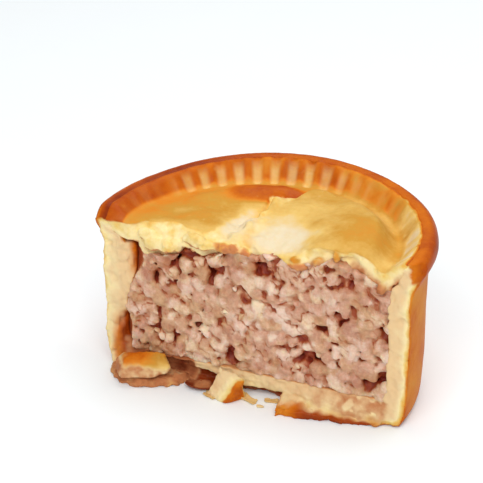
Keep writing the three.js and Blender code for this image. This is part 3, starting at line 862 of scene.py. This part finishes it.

# %% [markdown]
# The pressed grooves of the collar have lost their brown skin, and so has the torn band along the step. Cream
# patches lie beside the step. The underside is painted tan as juice and as painted shade, and the right part
# of the edge is tanned by juice.

# %% Lid skin, juice, painted shade and object
groove = np.clip(flute(x, y) * flute_strength(x, y), 0, 1)
groove = groove * eased(38.6, 39.8, radius) * faded(42.2, 44.8, radius)
groove = groove * (0.75 + 0.25 * uneven(turn, 0, 0, 5, 62))
torn = torn_share(x, y) * faded(33, 37, radius) + 0.3 * rough(x, y, z, 2.0, 64)
skin = faded(0.25, 0.6, depth) * faded(0.2, 1.0, torn) * (1 - 0.9 * groove)
# Faces that look down are painted tan: juice, and painted shade under the edge.
underside_juice_and_shade = eased(0.15, 0.7, -lid_normals[:, 2]) * eased(1.5, 2.5, depth)
tanned = 0.32 * on_front * eased(1.2, 4.5, depth) * eased(6, 16, x) + 0.16 * eased(4.0, 6.0, depth)
soak_and_shade = np.maximum(0.45 * underside_juice_and_shade, tanned * (1 + 0.6 * rough(x, y, z, 3, 68)))
doughy = np.zeros(len(x))
for middle, half, kind in LID_BITS:
    near = faded(0.8, 1.7, from_bit(x, y, z, middle, half) + 0.3 * rough(x, y, z, 1.6, 67))
    if kind == "dough":
        doughy = np.maximum(doughy, near)
        continue
    skin = np.maximum(skin, near)
    bake = blend(bake, BIT_BAKE[kind], near)
    soak_and_shade = np.maximum(soak_and_shade, near * BIT_SOAK[kind])
tuft = 0.9 * hill(x + 10.6 - 0.1 * y, 4.6) * hill(y - 7, 10)
creamy = hill(x - 5, 12) * hill(y - 2, 8) + tuft + 0.22 * rough(x, y, 0, 5, 61)
creamy = eased(0.15, 0.9, creamy) * faded(33, 37, radius)
on_seam = eased(43.4, 44.4, radius) * eased(CUT_Y + 1, CUT_Y + 3, y)
skin = np.maximum.reduce([skin * (1 - doughy), creamy, on_seam])
bake = blend(bake, 0.02, creamy)
inside = np.clip(0.14 + depth / 14 + 0.16 * rough(x, y, z, 3, 69), 0.03, 0.34)
inside = blend(blend(inside, 0.2, groove), 0.2 + 0.14 * rough(x, y, z, 3, 70), doughy)
paint = {"bake": bake, "skin": skin, "depth": inside, "soak_and_shade": soak_and_shade}
pastry_lid = to_object("pie_lid", lid_points, lid_quads, paint)

# %% [markdown]
# ## Mince
# Cooked mince is made of soft strands and crumbs of meat from the mincer's plate, pressed together in the
# case. It could be a heap of separate lumps, but a knife cuts it nearly flat and most lumps run into each
# other. So a core fills the room between case and lid, set back a little from the knife, and stretched balls
# of mixed sizes are joined to it. Holes, given by X, Z and radius, push both of them back.

# %% Room for the mince
MINCE_HOLES = [
    (-19.8, 42.8, 2.8), (-12.4, 37.6, 1.8), (1.4, 41.5, 2.0), (28.5, 41.0, 1.6), (-2.2, 31.6, 1.5),
    (25.0, 30.8, 2.2), (15.9, 14.7, 2.6), (-6.6, 10.5, 1.9), (39.0, 28.6, 1.9), (39.2, 14.1, 1.9),
    (20.6, 26.3, 1.3), (7.8, 37.9, 1.1), (34.4, 10.8, 1.9), (-30.5, 32.6, 1.4), (-24.8, 38.2, 1.6),
    (-18.6, 29.9, 1.2), (-23.9, 30.2, 0.7), (30.2, 36.2, 0.9), (23.9, 20.4, 1.1), (14.6, 21.4, 1.0),
    (10.5, 33.7, 0.7), (22.0, 9.6, 0.8), (6.4, 9.8, 0.9), (-24.2, 12.8, 0.9), (-16.0, 13.8, 0.9),
]
HOLE_LONG, HOLE_WIDE, HOLE_TURN, HOLE_MARGIN = 1.3, 0.85, 1.1, 0.9
OPEN_RADIUS = 1.8


def mince_room(x, y, z):
    """Distance outside the room that case and lid leave. At the left end the mince has shrunk away."""
    left_end = eased(24, 34, -x) * faded(CUT_Y + 1, CUT_Y + 5, y)
    shrink = left_end * (3.4 * eased(29, 37, z) + 2.6 * faded(16, 21, z))
    side = np.hypot(x, y) - (INNER_RADIUS + 0.4 - wall_swell(x, y, z) - shrink)
    ceiling = z - (lid_under(x, y) + 0.5)
    return overlap(overlap(side, BASE_THICKNESS - 0.1 - z, 0.4), ceiling, 0.4)


def hole_share(x, z):
    """1 in the middle of an open hole of the cut face, 0 away from it."""
    share = 0 * x + 0 * z
    for number, (hole_x, hole_z, hole_radius) in enumerate(MINCE_HOLES):
        lean = HOLE_TURN * number
        along = (x - hole_x) * math.cos(lean) + (z - hole_z) * math.sin(lean)
        across = (z - hole_z) * math.cos(lean) - (x - hole_x) * math.sin(lean)
        away = np.sqrt((along / HOLE_LONG) ** 2 + (across / HOLE_WIDE) ** 2) / (hole_radius + HOLE_MARGIN)
        edge = faded(0.6, 1.2, away + 0.25 * uneven(x, 0, z, 2.2, 73))
        share = np.maximum(share, min(1.0, hole_radius / OPEN_RADIUS) * edge)
    return share


def crease(x, y, z):
    """1 along the closed seams between pressed lumps, which come and go over the face."""
    seam = np.abs(uneven(x, y, z, 2.8, 65) + 0.35 * uneven(x, y, z, 1.2, 66))
    return faded(0.02, 0.16, seam) * eased(-0.4, 0.4, uneven(x, y, z, 5.0, 68))


# %% [markdown]
# A few chunks, many lumps and small crumbs are thrown at random on the cut. A throw too close to an earlier
# one of its kind is left out, which spreads them evenly without a pattern.

# %% Mince lumps
MINCE_WIDTH, MINCE_HEIGHT = (-41, 41), (7, 48)
rng = np.random.default_rng(41)


def spread(count, spacing, sizes):
    """Random balls of mince that keep a distance from each other and nearly reach the cut."""
    balls = []
    places = np.empty((0, 2))
    for place in np.stack([rng.uniform(*MINCE_WIDTH, count), rng.uniform(*MINCE_HEIGHT, count)], 1):
        if len(places) and np.min(np.sum((places - place) ** 2, 1)) < spacing**2:
            continue
        places = np.vstack([places, place])
        size = rng.uniform(*sizes)
        behind = size * rng.uniform(0.8, 1.3) - 0.5
        balls.append((np.array([place[0], CUT_Y + behind, place[1]]), size, rng.uniform(1.0, 1.35)))
    return balls


chunks = spread(500, 8.0, (2.2, 3.0))
large = spread(6000, 3.4, (1.7, 2.6))
small = spread(6000, 2.6, (0.7, 1.2))
lumps = chunks + large + small
print(len(chunks), "chunks,", len(large), "large and", len(small), "small lumps of mince")

# %% [markdown]
# The core lies deeper where the mince is loose: under the lid and at the upper left. The holes set it back
# further, and dents roughen it.

# %% Mince core
MINCE_STEP, MINCE_FAR_STEP = 0.37, 2.0
block = Block((-42.5, -9.5, 6.5), (42.5, 41.8, 49), MINCE_STEP, MINCE_FAR_STEP)
x, y, z = block.x, block.y, block.z
room = mince_room(x, y, z)
below_lid = lid_under(x, y) - z
upper_left = hill(x + 22, 14) * hill(z - 36, 10)
middle = hill(x - 4, 12) * hill(z - 24, 9)
openness = 0.9 * rough(x, y, z, 6.0, 67) + 0.4 * faded(1, 8, below_lid) + 0.6 * upper_left - 0.4 * middle
openness = eased(-0.1, 0.9, openness)
holes = hole_share(x, z)
dents = 0.4 * uneven(x, y, z, 1.7, 61) + 0.26 * uneven(x, y, z, 0.85, 62)
mince_field = CUT_Y + 0.8 + 1.5 * openness + 2.8 * holes + 1.6 * holes**3 + dents - y
print("grid of", mince_field.shape, "points")

# %% [markdown]
# Each ball is worked out only in its own small window of the grid, because the whole grid would take far too
# long. It is joined to the core, and leaves its tint and pinkness there as a weighted mean.

# %% Mince lumps joined to the core
HOLE_PUSH, LUMP_JOIN, FAINT = 3.0, 0.45, 1e-6
tint_sum = np.zeros(room.shape, np.float32)
pink_sum = np.zeros(room.shape, np.float32)
weight = np.full(room.shape, FAINT)
for centre, size, stretch in lumps:
    tint, pink = rng.uniform(-1, 1), rng.uniform(0, 1)
    long = rng.normal(size=3)
    long /= np.linalg.norm(long)
    centre = centre + np.array([0, HOLE_PUSH * float(hole_share(centre[0], centre[2])), 0])
    reach = size * stretch + 1.0
    window = tuple(slice(*np.searchsorted(a, (c - reach, c + reach))) for a, c in zip(block.axes, centre))
    px, py, pz = (a[w] - c for a, w, c in zip(block.axes, window, centre))
    px, py, pz = px[:, None, None], py[None, :, None], pz[None, None, :]
    along = px * long[0] + py * long[1] + pz * long[2]
    squared = px**2 + py**2 + pz**2
    ball = np.sqrt(np.maximum(squared - along**2 * (1 - 1 / stretch**2), 0)) - size
    ball = ball + dents[window] * min(1.0, size / 1.5)
    share = np.exp(-4 * np.maximum(ball, -1.0))
    weight[window] += share
    tint_sum[window] += share * tint
    pink_sum[window] += share * pink
    mince_field[window] = joined(mince_field[window], ball, LUMP_JOIN)
print("lumps reach", round(100 * float(np.mean(weight > 10 * FAINT))), "% of the grid")

# %% [markdown]
# The knife cuts off what stands out. Then a light blur rounds the joins, grain roughens every lump, and
# closed seams draw thin lines where lumps were pressed together.

# %% Mince mesh
knife = CUT_Y - 0.5 + 0.5 * rough(x, 0, z, 5.0, 69)
mince_field = blurred(overlap(mince_field, knife - y, 0.8), 1)
grain = 0.24 * uneven(x, y, z, 1.4, 63) + 0.18 * uneven(x, y, z, 0.8, 64) + 0.35 * crease(x, y, z)
mince_field = overlap(mince_field + grain, room, 0.3)
mince_points, mince_quads = largest_piece(*block.mesh(mince_field))
print("mince from", mince_points.min(0).round(1), "to", mince_points.max(0).round(1), "mm")

# %% [markdown]
# Hollows between lumps hold dark juice, and their darkness is painted shade as well. They are found by
# blurring the sampled distance: where the mean of the neighbourhood lies inside the mince, the point is in a
# hollow and is painted darker, and where it lies outside, on the top of a lump, it gets a painted highlight.
# Holes, seams and the mince far behind the cut are painted darker too, as are the left end and the top.

# %% Mince paint
sunk = -block.sample(blurred(np.clip(mince_field, -3, 3), 4), mince_points)
x, y, z = mince_points.T
behind = y - CUT_Y
# Juice and painted shade: darker in hollows, in holes, along seams and further behind the cut.
juice_and_shade = 0.55 * eased(-0.3, 0.8, sunk) + 0.45 * eased(0.8, 3.2, behind)
juice_and_shade = juice_and_shade + 0.25 * hole_share(x, z) + 0.26 * crease(x, y, z)
juice_and_shade = np.clip(juice_and_shade + 0.08 * faded(-30, -14, x) + 0.1 * eased(34, 43, z), 0, 1)
# Painted light: the tops of lumps are made lighter.
tint = block.sample(tint_sum / weight, mince_points) + 0.25 * eased(0.0, 0.8, -sunk)
tint = tint + 0.6 * hill(x - 3, 16) * hill(z - 26, 12) - 0.3 * hill(x + 22, 14) * hill(z - 38, 9)
pink = block.sample(pink_sum / weight, mince_points) + 0.2 * eased(-10, 5, x)
mince = to_object("pie_mince", mince_points, mince_quads, {"tint": tint, "pink": pink, "juice_and_shade": juice_and_shade})
print("sunk", np.percentile(sunk[behind < 3], [5, 25, 50, 75, 95]).round(2), "mm")

# %% [markdown]
# ## Broken bits of crust
# Two bits of crust lie in front of the cut. The left one is a bar with its browned skin on top, the middle
# one a wedge with the skin on its right. Broken pastry has flat faces and sharp edges, so each bit is the
# overlap of a few half spaces, made crumbly.

# %% Crumb shapes
CRUMB_STEP, CRUMB_GAP = 0.24, 0.03
CRUMBS = {
    "crust_crumb_left": dict(
        turn=0.36, at=(-32.0, -12.0, 2.9), skin_face=0, fade=0.6, soft=1.1, skin_edge=(0.2, 2.4), soak_and_shade=0.4,
        faces=[((0.08, -0.24, 1.0), 5.7), ((0.05, -0.97, 0.2), 3.2), ((0, 1, 0.12), 3.2),
               ((-0.9, -0.35, 0.2), 7.2), ((1.0, 0.1, 0.25), 8.4), ((-0.62, -0.3, 0.72), 7.0),
               ((0.45, -0.6, -0.65), 3.0)]),
    "crust_crumb_middle": dict(
        turn=-0.12, at=(-6.0, -10.6, 0.0), skin_face=1, fade=-0.4, soft=0.6, skin_edge=(0.35, 0.9), soak_and_shade=0.12,
        faces=[((-0.14, -0.86, 0.48), 3.1), ((0.78, -0.6, -0.12), 3.0), ((0.29, -0.13, 0.95), 7.2),
               ((0, 1, 0.1), 2.6), ((-0.95, -0.1, 0.3), 5.6), ((1, 0.15, 0.1), 5.3),
               ((-0.5, -0.86, 0.1), 3.9)]),
}


def face_distance(x, y, z, face):
    """Distance outside the half space of one broken face."""
    (nx, ny, nz), offset = face
    length = math.sqrt(nx * nx + ny * ny + nz * nz)
    return (nx * x + ny * y + nz * z) / length - offset / length


def crumb_field(x, y, z, crumb):
    """Overlap of all faces of a crumb, crumbly where it broke and less so on its skin."""
    solid = CRUMB_GAP - z + 0 * x + 0 * y
    broken = 0.5 * rough(x, y, z, 3.4, 71) + 0.2 * uneven(x, y, z, 1.0, 74)
    for number, face in enumerate(crumb["faces"]):
        share = 0.5 if number == crumb["skin_face"] else 1.0
        solid = overlap(solid, face_distance(x, y, z, face) + share * broken, crumb["soft"])
    return solid


def set_down(points, turn, at):
    """Points turned about the upright axis and moved to their place."""
    x, y, z = points.T
    cos, sin = math.cos(turn), math.sin(turn)
    return np.stack([cos * x - sin * y, sin * x + cos * y, z], 1) + np.array(at)


# %% [markdown]
# Each crumb is sampled about its own middle, then turned and moved to its place. How far a point lies below
# the skin face gives both its skin and the colour of its dough.

# %% Crumb objects
crumb_pieces = {}
for name, crumb in CRUMBS.items():
    block = Block((-9, -5.5, -1), (9, 5.5, 9.5), CRUMB_STEP)
    points, quads = largest_piece(*block.mesh(crumb_field(block.x, block.y, block.z, crumb)))
    x, y, z = points.T
    below_skin = -face_distance(x, y, z, crumb["faces"][crumb["skin_face"]])
    skin = faded(*crumb["skin_edge"], below_skin + 0.4 * rough(x, y, z, 2.4, 75))
    bake = 0.6 + 0.12 * rough(x, y, z, 3.5, 77) - crumb["fade"] * (0.05 * x - 0.08 * y)
    soak_and_shade = (crumb["soak_and_shade"] + 0.2 * rough(x, y, z, 2.5, 78)) * faded(3.0, 8.0, z) * (1 - skin)
    paint = {"bake": bake, "skin": skin, "depth": np.clip(below_skin / 6, 0, 0.7), "soak_and_shade": soak_and_shade}
    placed = set_down(points, crumb["turn"], crumb["at"])
    crumb_pieces[name] = to_object(name.replace("crust", "pie"), placed, quads, paint)

# %% [markdown]
# Thin flakes of crust lie round the middle crumb. Four are bent, ragged plates less than a millimetre thick.
# The fifth is a dark oval flake with a turned-up edge, soaked with juice.

# %% Flake shapes
FLAKE_STEP, FLAKE_THICKNESS = 0.16, 0.5
FLAKES = [
    dict(at=(-10.8, -11.9, 0), size=(5.4, 2.4), turn=-0.45, lift=0.3, curl=0.5, dish=0.0, bake=0.4, soak_and_shade=0.1),
    dict(at=(0.2, -9.4, 0), size=(7.0, 3.0), turn=-0.42, lift=0.3, curl=0.8, dish=0.0, bake=0.3, soak_and_shade=0.1),
    dict(at=(4.9, -11.6, 0), size=(3.0, 1.2), turn=0.2, lift=0.25, curl=0.3, dish=0.0, bake=0.15, soak_and_shade=0.1),
    dict(at=(7.0, -7.6, 0), size=(4.6, 2.2), turn=0.35, lift=0.3, curl=0.5, dish=0.0, bake=0.35, soak_and_shade=0.1),
    dict(at=(-15.2, -8.3, 0), size=(9.4, 5.8), turn=0.1, lift=0.5, curl=0.0, dish=0.8, bake=1.0, soak_and_shade=0.5),
]


def flake_reach(x, y, flake):
    """0 in the middle of a flake, 1 at its outline: an oval if it is dished, else a skewed rectangle."""
    length, width = flake["size"]
    if flake["dish"]:
        return np.hypot(2 * x / length, 2 * y / width)
    return np.maximum(np.abs(2 * x / length + 0.3 * y / width), np.abs(2 * y / width))


def flake_field(x, y, z, flake, number):
    """Distance outside a bent plate with a ragged outline."""
    width = flake["size"][1]
    reach = flake_reach(x, y, flake)
    inset, tear = (0.95, 0.16) if flake["dish"] else (0.85, 0.3)
    plan = reach - inset + tear * rough(x + 9 * number, y, 0, 1.8, 81)
    bent = flake["lift"] + flake["curl"] * (2 * y / width) ** 2 * 0.5 + flake["dish"] * reach**4
    plate = np.abs(z - (bent + 0.2 * uneven(x, y + 5 * number, 0, 1.6, 82))) - FLAKE_THICKNESS / 2
    return overlap(overlap(plan * width / 2, plate, 0.2), CRUMB_GAP - z, 0.1)


# %% [markdown]
# The flakes could be five objects, but they are loose scraps of one kind, so they make one piece. The corners
# of each flake's faces are counted on from the points of the flakes before it.

# %% Flake object
flake_points, flake_quads, flake_paint = [], [], []
for number, flake in enumerate(FLAKES):
    length, width = flake["size"]
    block = Block((-length * 0.8, -width, -0.2), (length * 0.8, width, 4.6), FLAKE_STEP)
    points, quads = largest_piece(*block.mesh(flake_field(block.x, block.y, block.z, flake, number)))
    flake_quads.append(quads + sum(len(p) for p in flake_points))
    flake_points.append(set_down(points, flake["turn"], flake["at"]))
    x, y, z = points.T
    dark_rim = eased(0.4, 0.95, flake_reach(x, y, flake) + 0.3 * uneven(x, y, z, 1.8, 84))
    flake_paint.append({
        "bake": flake["bake"] + 0.14 * uneven(x, y, z, 1.5, 83),
        "skin": np.full(len(points), 0.4 + 0.6 * flake["bake"]),
        "depth": np.full(len(points), 0.6),
        "soak_and_shade": flake["soak_and_shade"] + 0.55 * dark_rim * (flake["dish"] > 0),
    })
paint = {label: np.concatenate([one[label] for one in flake_paint]) for label in flake_paint[0]}
flakes = to_object("pie_flakes", np.concatenate(flake_points), np.concatenate(flake_quads), paint)

# %% [markdown]
# ## Finishes
# A finish is a small sheet of shader nodes. Its colours are written as they look on a screen, and turned
# into the linear values that the renderer works with.

# %% Colours
def linear(red, green, blue):
    """Display colour from 0 to 255 as scene-linear values."""
    shares = (red / 255, green / 255, blue / 255)
    return (*(v / 12.92 if v <= 0.04045 else ((v + 0.055) / 1.055) ** 2.4 for v in shares), 1.0)


# %% [markdown]
# A shader sum could be wired node by node. Here a socket is wrapped so that the sum is written as a plain
# Python expression, and each sign in it adds a node.

# %% Sockets that take part in sums
class Wire:
    """A shader socket that takes part in Python arithmetic."""

    def __init__(self, finish, socket):
        self.finish = finish
        self.socket = socket

    def _math(self, operation, first, second):
        node = self.finish.node("ShaderNodeMath", {"operation": operation}, {0: first, 1: second})
        return self.finish.out(node)

    def __add__(self, other):
        return self._math("ADD", self, other)

    __radd__ = __add__

    def __mul__(self, other):
        return self._math("MULTIPLY", self, other)

    __rmul__ = __mul__

    def __sub__(self, other):
        return self._math("SUBTRACT", self, other)

    def __rsub__(self, other):
        return self._math("SUBTRACT", other, self)


# %% [markdown]
# The sheet adds nodes and feeds each input with a number, a colour or another node's socket. Its other
# methods read a painted value, make speckle, step through colours, ease a value, mix two colours and raise
# bumps.

# %% Sheet of shader nodes
class Finish:
    """A material whose nodes are added one by one."""

    def __init__(self, name):
        self.material = bpy.data.materials.new(name)
        self.material.use_nodes = True
        self.nodes = self.material.node_tree.nodes
        self.links = self.material.node_tree.links
        self.shader = self.nodes["Principled BSDF"]

    def node(self, kind, settings=None, inputs=None):
        node = self.nodes.new(kind)
        for label, value in (settings or {}).items():
            setattr(node, label, value)
        self.feed(node, inputs or {})
        return node

    def feed(self, node, inputs):
        for label, value in inputs.items():
            if isinstance(value, Wire):
                self.links.new(value.socket, node.inputs[label])
            else:
                node.inputs[label].default_value = value

    def out(self, node, label=0):
        return Wire(self, node.outputs[label])

    def painted(self, label):
        return self.out(self.node("ShaderNodeAttribute", {"attribute_name": label}), "Fac")

    def speckle(self, size_mm, detail=3.0, roughness=0.55):
        place = self.out(self.node("ShaderNodeTexCoord"), "Object")
        inputs = {"Vector": place, "Scale": 1 / (size_mm * MM), "Detail": detail, "Roughness": roughness}
        return self.out(self.node("ShaderNodeTexNoise", None, inputs), 0)

    def steps(self, value, stops):
        node = self.node("ShaderNodeValToRGB", None, {"Fac": value})
        ramp = node.color_ramp
        while len(ramp.elements) < len(stops):
            ramp.elements.new(0.5)
        for element, (position, colour) in zip(ramp.elements, stops):
            element.position = position
            element.color = colour
        return self.out(node, "Color")

    def ease(self, value, low, high):
        inputs = {"Value": value, "From Min": low, "From Max": high}
        return self.out(self.node("ShaderNodeMapRange", {"interpolation_type": "SMOOTHSTEP"}, inputs), 0)

    def tinted(self, share, first, second):
        node = self.node("ShaderNodeMix", {"data_type": "RGBA"}, {0: share, 6: first, 7: second})
        return self.out(node, 2)

    def bumped(self, height, strength, distance_mm):
        inputs = {"Height": height, "Strength": strength, "Distance": distance_mm * MM}
        return self.out(self.node("ShaderNodeBump", None, inputs), "Normal")


# %% [markdown]
# Pastry browns from cream over gold to orange brown where the oven reached it. Below the skin the dough
# is yellow with fat, then cream. Egg glaze leaves a soft sheen on the skin, and juice darkens the inside.
# The juice colours also paint the shade in the recess of the base and under the lid.

# %% Pastry finish
BROWNING = [
    (0.0, linear(226, 210, 178)), (0.22, linear(226, 188, 108)), (0.42, linear(200, 146, 58)),
    (0.56, linear(216, 134, 42)), (0.68, linear(204, 108, 20)), (0.84, linear(174, 74, 10)),
    (1.0, linear(134, 48, 10)),
]
CUT_DOUGH = [
    (0.0, linear(230, 172, 70)), (0.14, linear(232, 200, 122)), (0.34, linear(243, 222, 166)),
    (0.5, linear(238, 214, 164)), (0.66, linear(232, 202, 154)), (0.8, linear(230, 196, 148)),
]
# Juice colours, also used as painted shade.
SOAK_AND_SHADE_COLOURS = [(0.0, linear(222, 176, 126)), (0.5, linear(190, 122, 78)), (1.0, linear(120, 48, 24))]


def pastry_finish(name):
    finish = Finish(name)
    bake, skin, depth, soak_and_shade = (finish.painted(label) for label in ("bake", "skin", "depth", "soak_and_shade"))
    broad = finish.speckle(7.0)
    fine = finish.speckle(1.3, 4.0, 0.6)
    browned = finish.steps(bake + 0.22 * (broad - 0.5) + 0.12 * (fine - 0.5), BROWNING)
    dough = finish.steps(depth + 0.25 * (fine - 0.5), CUT_DOUGH)
    # Juice and painted shade.
    wet_and_shaded = finish.steps(soak_and_shade + 0.3 * (fine - 0.5), SOAK_AND_SHADE_COLOURS)
    colour = finish.tinted(skin, dough, browned)
    colour = finish.tinted(finish.ease(soak_and_shade + 0.15 * (fine - 0.5), 0.05, 0.5), colour, wet_and_shaded)
    glaze = skin * finish.ease(bake, 0.3, 0.8)
    height = fine + 0.6 * finish.speckle(0.5, 2.0)
    finish.feed(finish.shader, {
        "Base Color": colour,
        "Roughness": 0.72 - 0.3 * glaze - 0.2 * finish.ease(soak_and_shade, 0.2, 0.8),
        "Coat Weight": 0.12 * finish.ease(bake, 0.7, 0.86) * skin,
        "Coat Roughness": 0.22,
        "Specular IOR Level": 0.05,
        "Subsurface Weight": 0.12,
        "Subsurface Radius": (1.0, 0.6, 0.3),
        "Subsurface Scale": 1.5 * MM,
        "Normal": finish.bumped(height, 0.35, 0.25),
    })
    return finish.material


# %% [markdown]
# Cooked mince is greyish pink to tan, each lump a little different, with dark red-brown juice and painted
# shade in the creases and holes, and a moist shine.

# %% Mince finish
WARM_MEAT = [(0.0, linear(178, 124, 82)), (0.5, linear(206, 164, 124)), (1.0, linear(236, 212, 180))]
COOL_MEAT = [(0.0, linear(178, 120, 92)), (0.5, linear(208, 162, 136)), (1.0, linear(230, 204, 184))]
# Juice colours, which also paint the shade in the creases and holes of the mince.
JUICE_AND_SHADE = [
    (0.0, linear(196, 140, 96)), (0.35, linear(182, 110, 64)), (0.6, linear(164, 76, 36)),
    (1.0, linear(138, 42, 18)),
]


def mince_finish(name):
    finish = Finish(name)
    tint, pink, juice_and_shade = (finish.painted(label) for label in ("tint", "pink", "juice_and_shade"))
    broad = finish.speckle(3.0)
    fine = finish.speckle(0.9, 4.0, 0.6)
    shade = 0.48 + 0.42 * tint + 0.6 * (broad - 0.5) + 0.8 * (fine - 0.5)
    cool = finish.ease(pink + 0.8 * (finish.speckle(5.0) - 0.5), 0.1, 0.9)
    meat = finish.tinted(cool, finish.steps(shade, WARM_MEAT), finish.steps(shade, COOL_MEAT))
    # Juice and painted shade, mixed in where the mince is hollow.
    juice = finish.steps(juice_and_shade + 0.3 * (fine - 0.5), JUICE_AND_SHADE)
    colour = finish.tinted(finish.ease(juice_and_shade + 0.3 * (fine - 0.5), 0.08, 0.6), meat, juice)
    finish.feed(finish.shader, {
        "Base Color": colour,
        "Roughness": 0.36 + 0.3 * fine,
        "Specular IOR Level": 0.4,
        "Subsurface Weight": 0.5,
        "Subsurface Radius": (1.0, 0.4, 0.25),
        "Subsurface Scale": 1.8 * MM,
        "Normal": finish.bumped(fine + 0.5 * finish.speckle(0.4, 2.0), 0.4, 0.3),
    })
    return finish.material


# %% [markdown]
# The floor is a plain pale studio sheet, a little cool so that it comes out neutral in the warm light.

# %% Floor finish
def floor_finish(name):
    finish = Finish(name)
    grain = finish.speckle(30.0)
    finish.feed(finish.shader, {
        "Base Color": finish.tinted(grain, linear(246, 251, 254), linear(248, 253, 255)),
        "Roughness": 0.6,
        "Specular IOR Level": 0.2,
    })
    return finish.material


# %% [markdown]
# ## Dressing the frame
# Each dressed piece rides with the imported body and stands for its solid. The flakes are extra, because they
# are too thin for solids.

# %% Assign finishes and declare pieces
case_crust = pastry_finish("case_crust")
lid_crust = pastry_finish("lid_crust")
crumb_crust = pastry_finish("crumb_crust")
dressed = [
    (pastry_case, case_crust, "pastry_case", "case_crust"),
    (pastry_lid, lid_crust, "pastry_lid", "lid_crust"),
    (mince, mince_finish("cooked_mince"), "mince_filling", "cooked_mince"),
    (crumb_pieces["crust_crumb_left"], crumb_crust, "crust_crumb_left", "crumb_crust"),
    (crumb_pieces["crust_crumb_middle"], crumb_crust, "crust_crumb_middle", "crumb_crust"),
    (flakes, crumb_crust, None, "crumb_crust"),
]
for obj, material, node, slot in dressed:
    obj.data.materials.append(material)
    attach(obj, "root")
    if node:
        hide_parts(node)
    print(obj.name, "stands for", node or "no solid", "in", slot)

# %% [markdown]
# The floor only carries the shadow. It is declared as stage, so that it does not count as part of the pie.

# %% Studio floor
FLOOR_HALF = 3.0
floor_corners = [(FLOOR_HALF * u, FLOOR_HALF * v, 0) for u, v in ((-1, -1), (1, -1), (1, 1), (-1, 1))]
floor_mesh = bpy.data.meshes.new("studio_floor")
floor_mesh.from_pydata(floor_corners, [], [(0, 1, 2, 3)])
floor = bpy.data.objects.new("studio_floor", floor_mesh)
floor_mesh.materials.append(floor_finish("studio_floor"))
scene.collection.objects.link(floor)
floor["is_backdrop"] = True
print("floor", 2 * FLOOR_HALF, "m across")

# %% [markdown]
# Both boxes, of the solids and of the dressed pie, are measured and printed. The dressed pie has to
# keep to the box of the solids.

# %% Measure the boxes
dressed_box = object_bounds()
boxes = {"cad": [list(corner) for corner in cad_box], "dressed": [list(corner) for corner in dressed_box]}
for label, box in boxes.items():
    print(label, [[round(v / MM, 1) for v in corner] for corner in box])
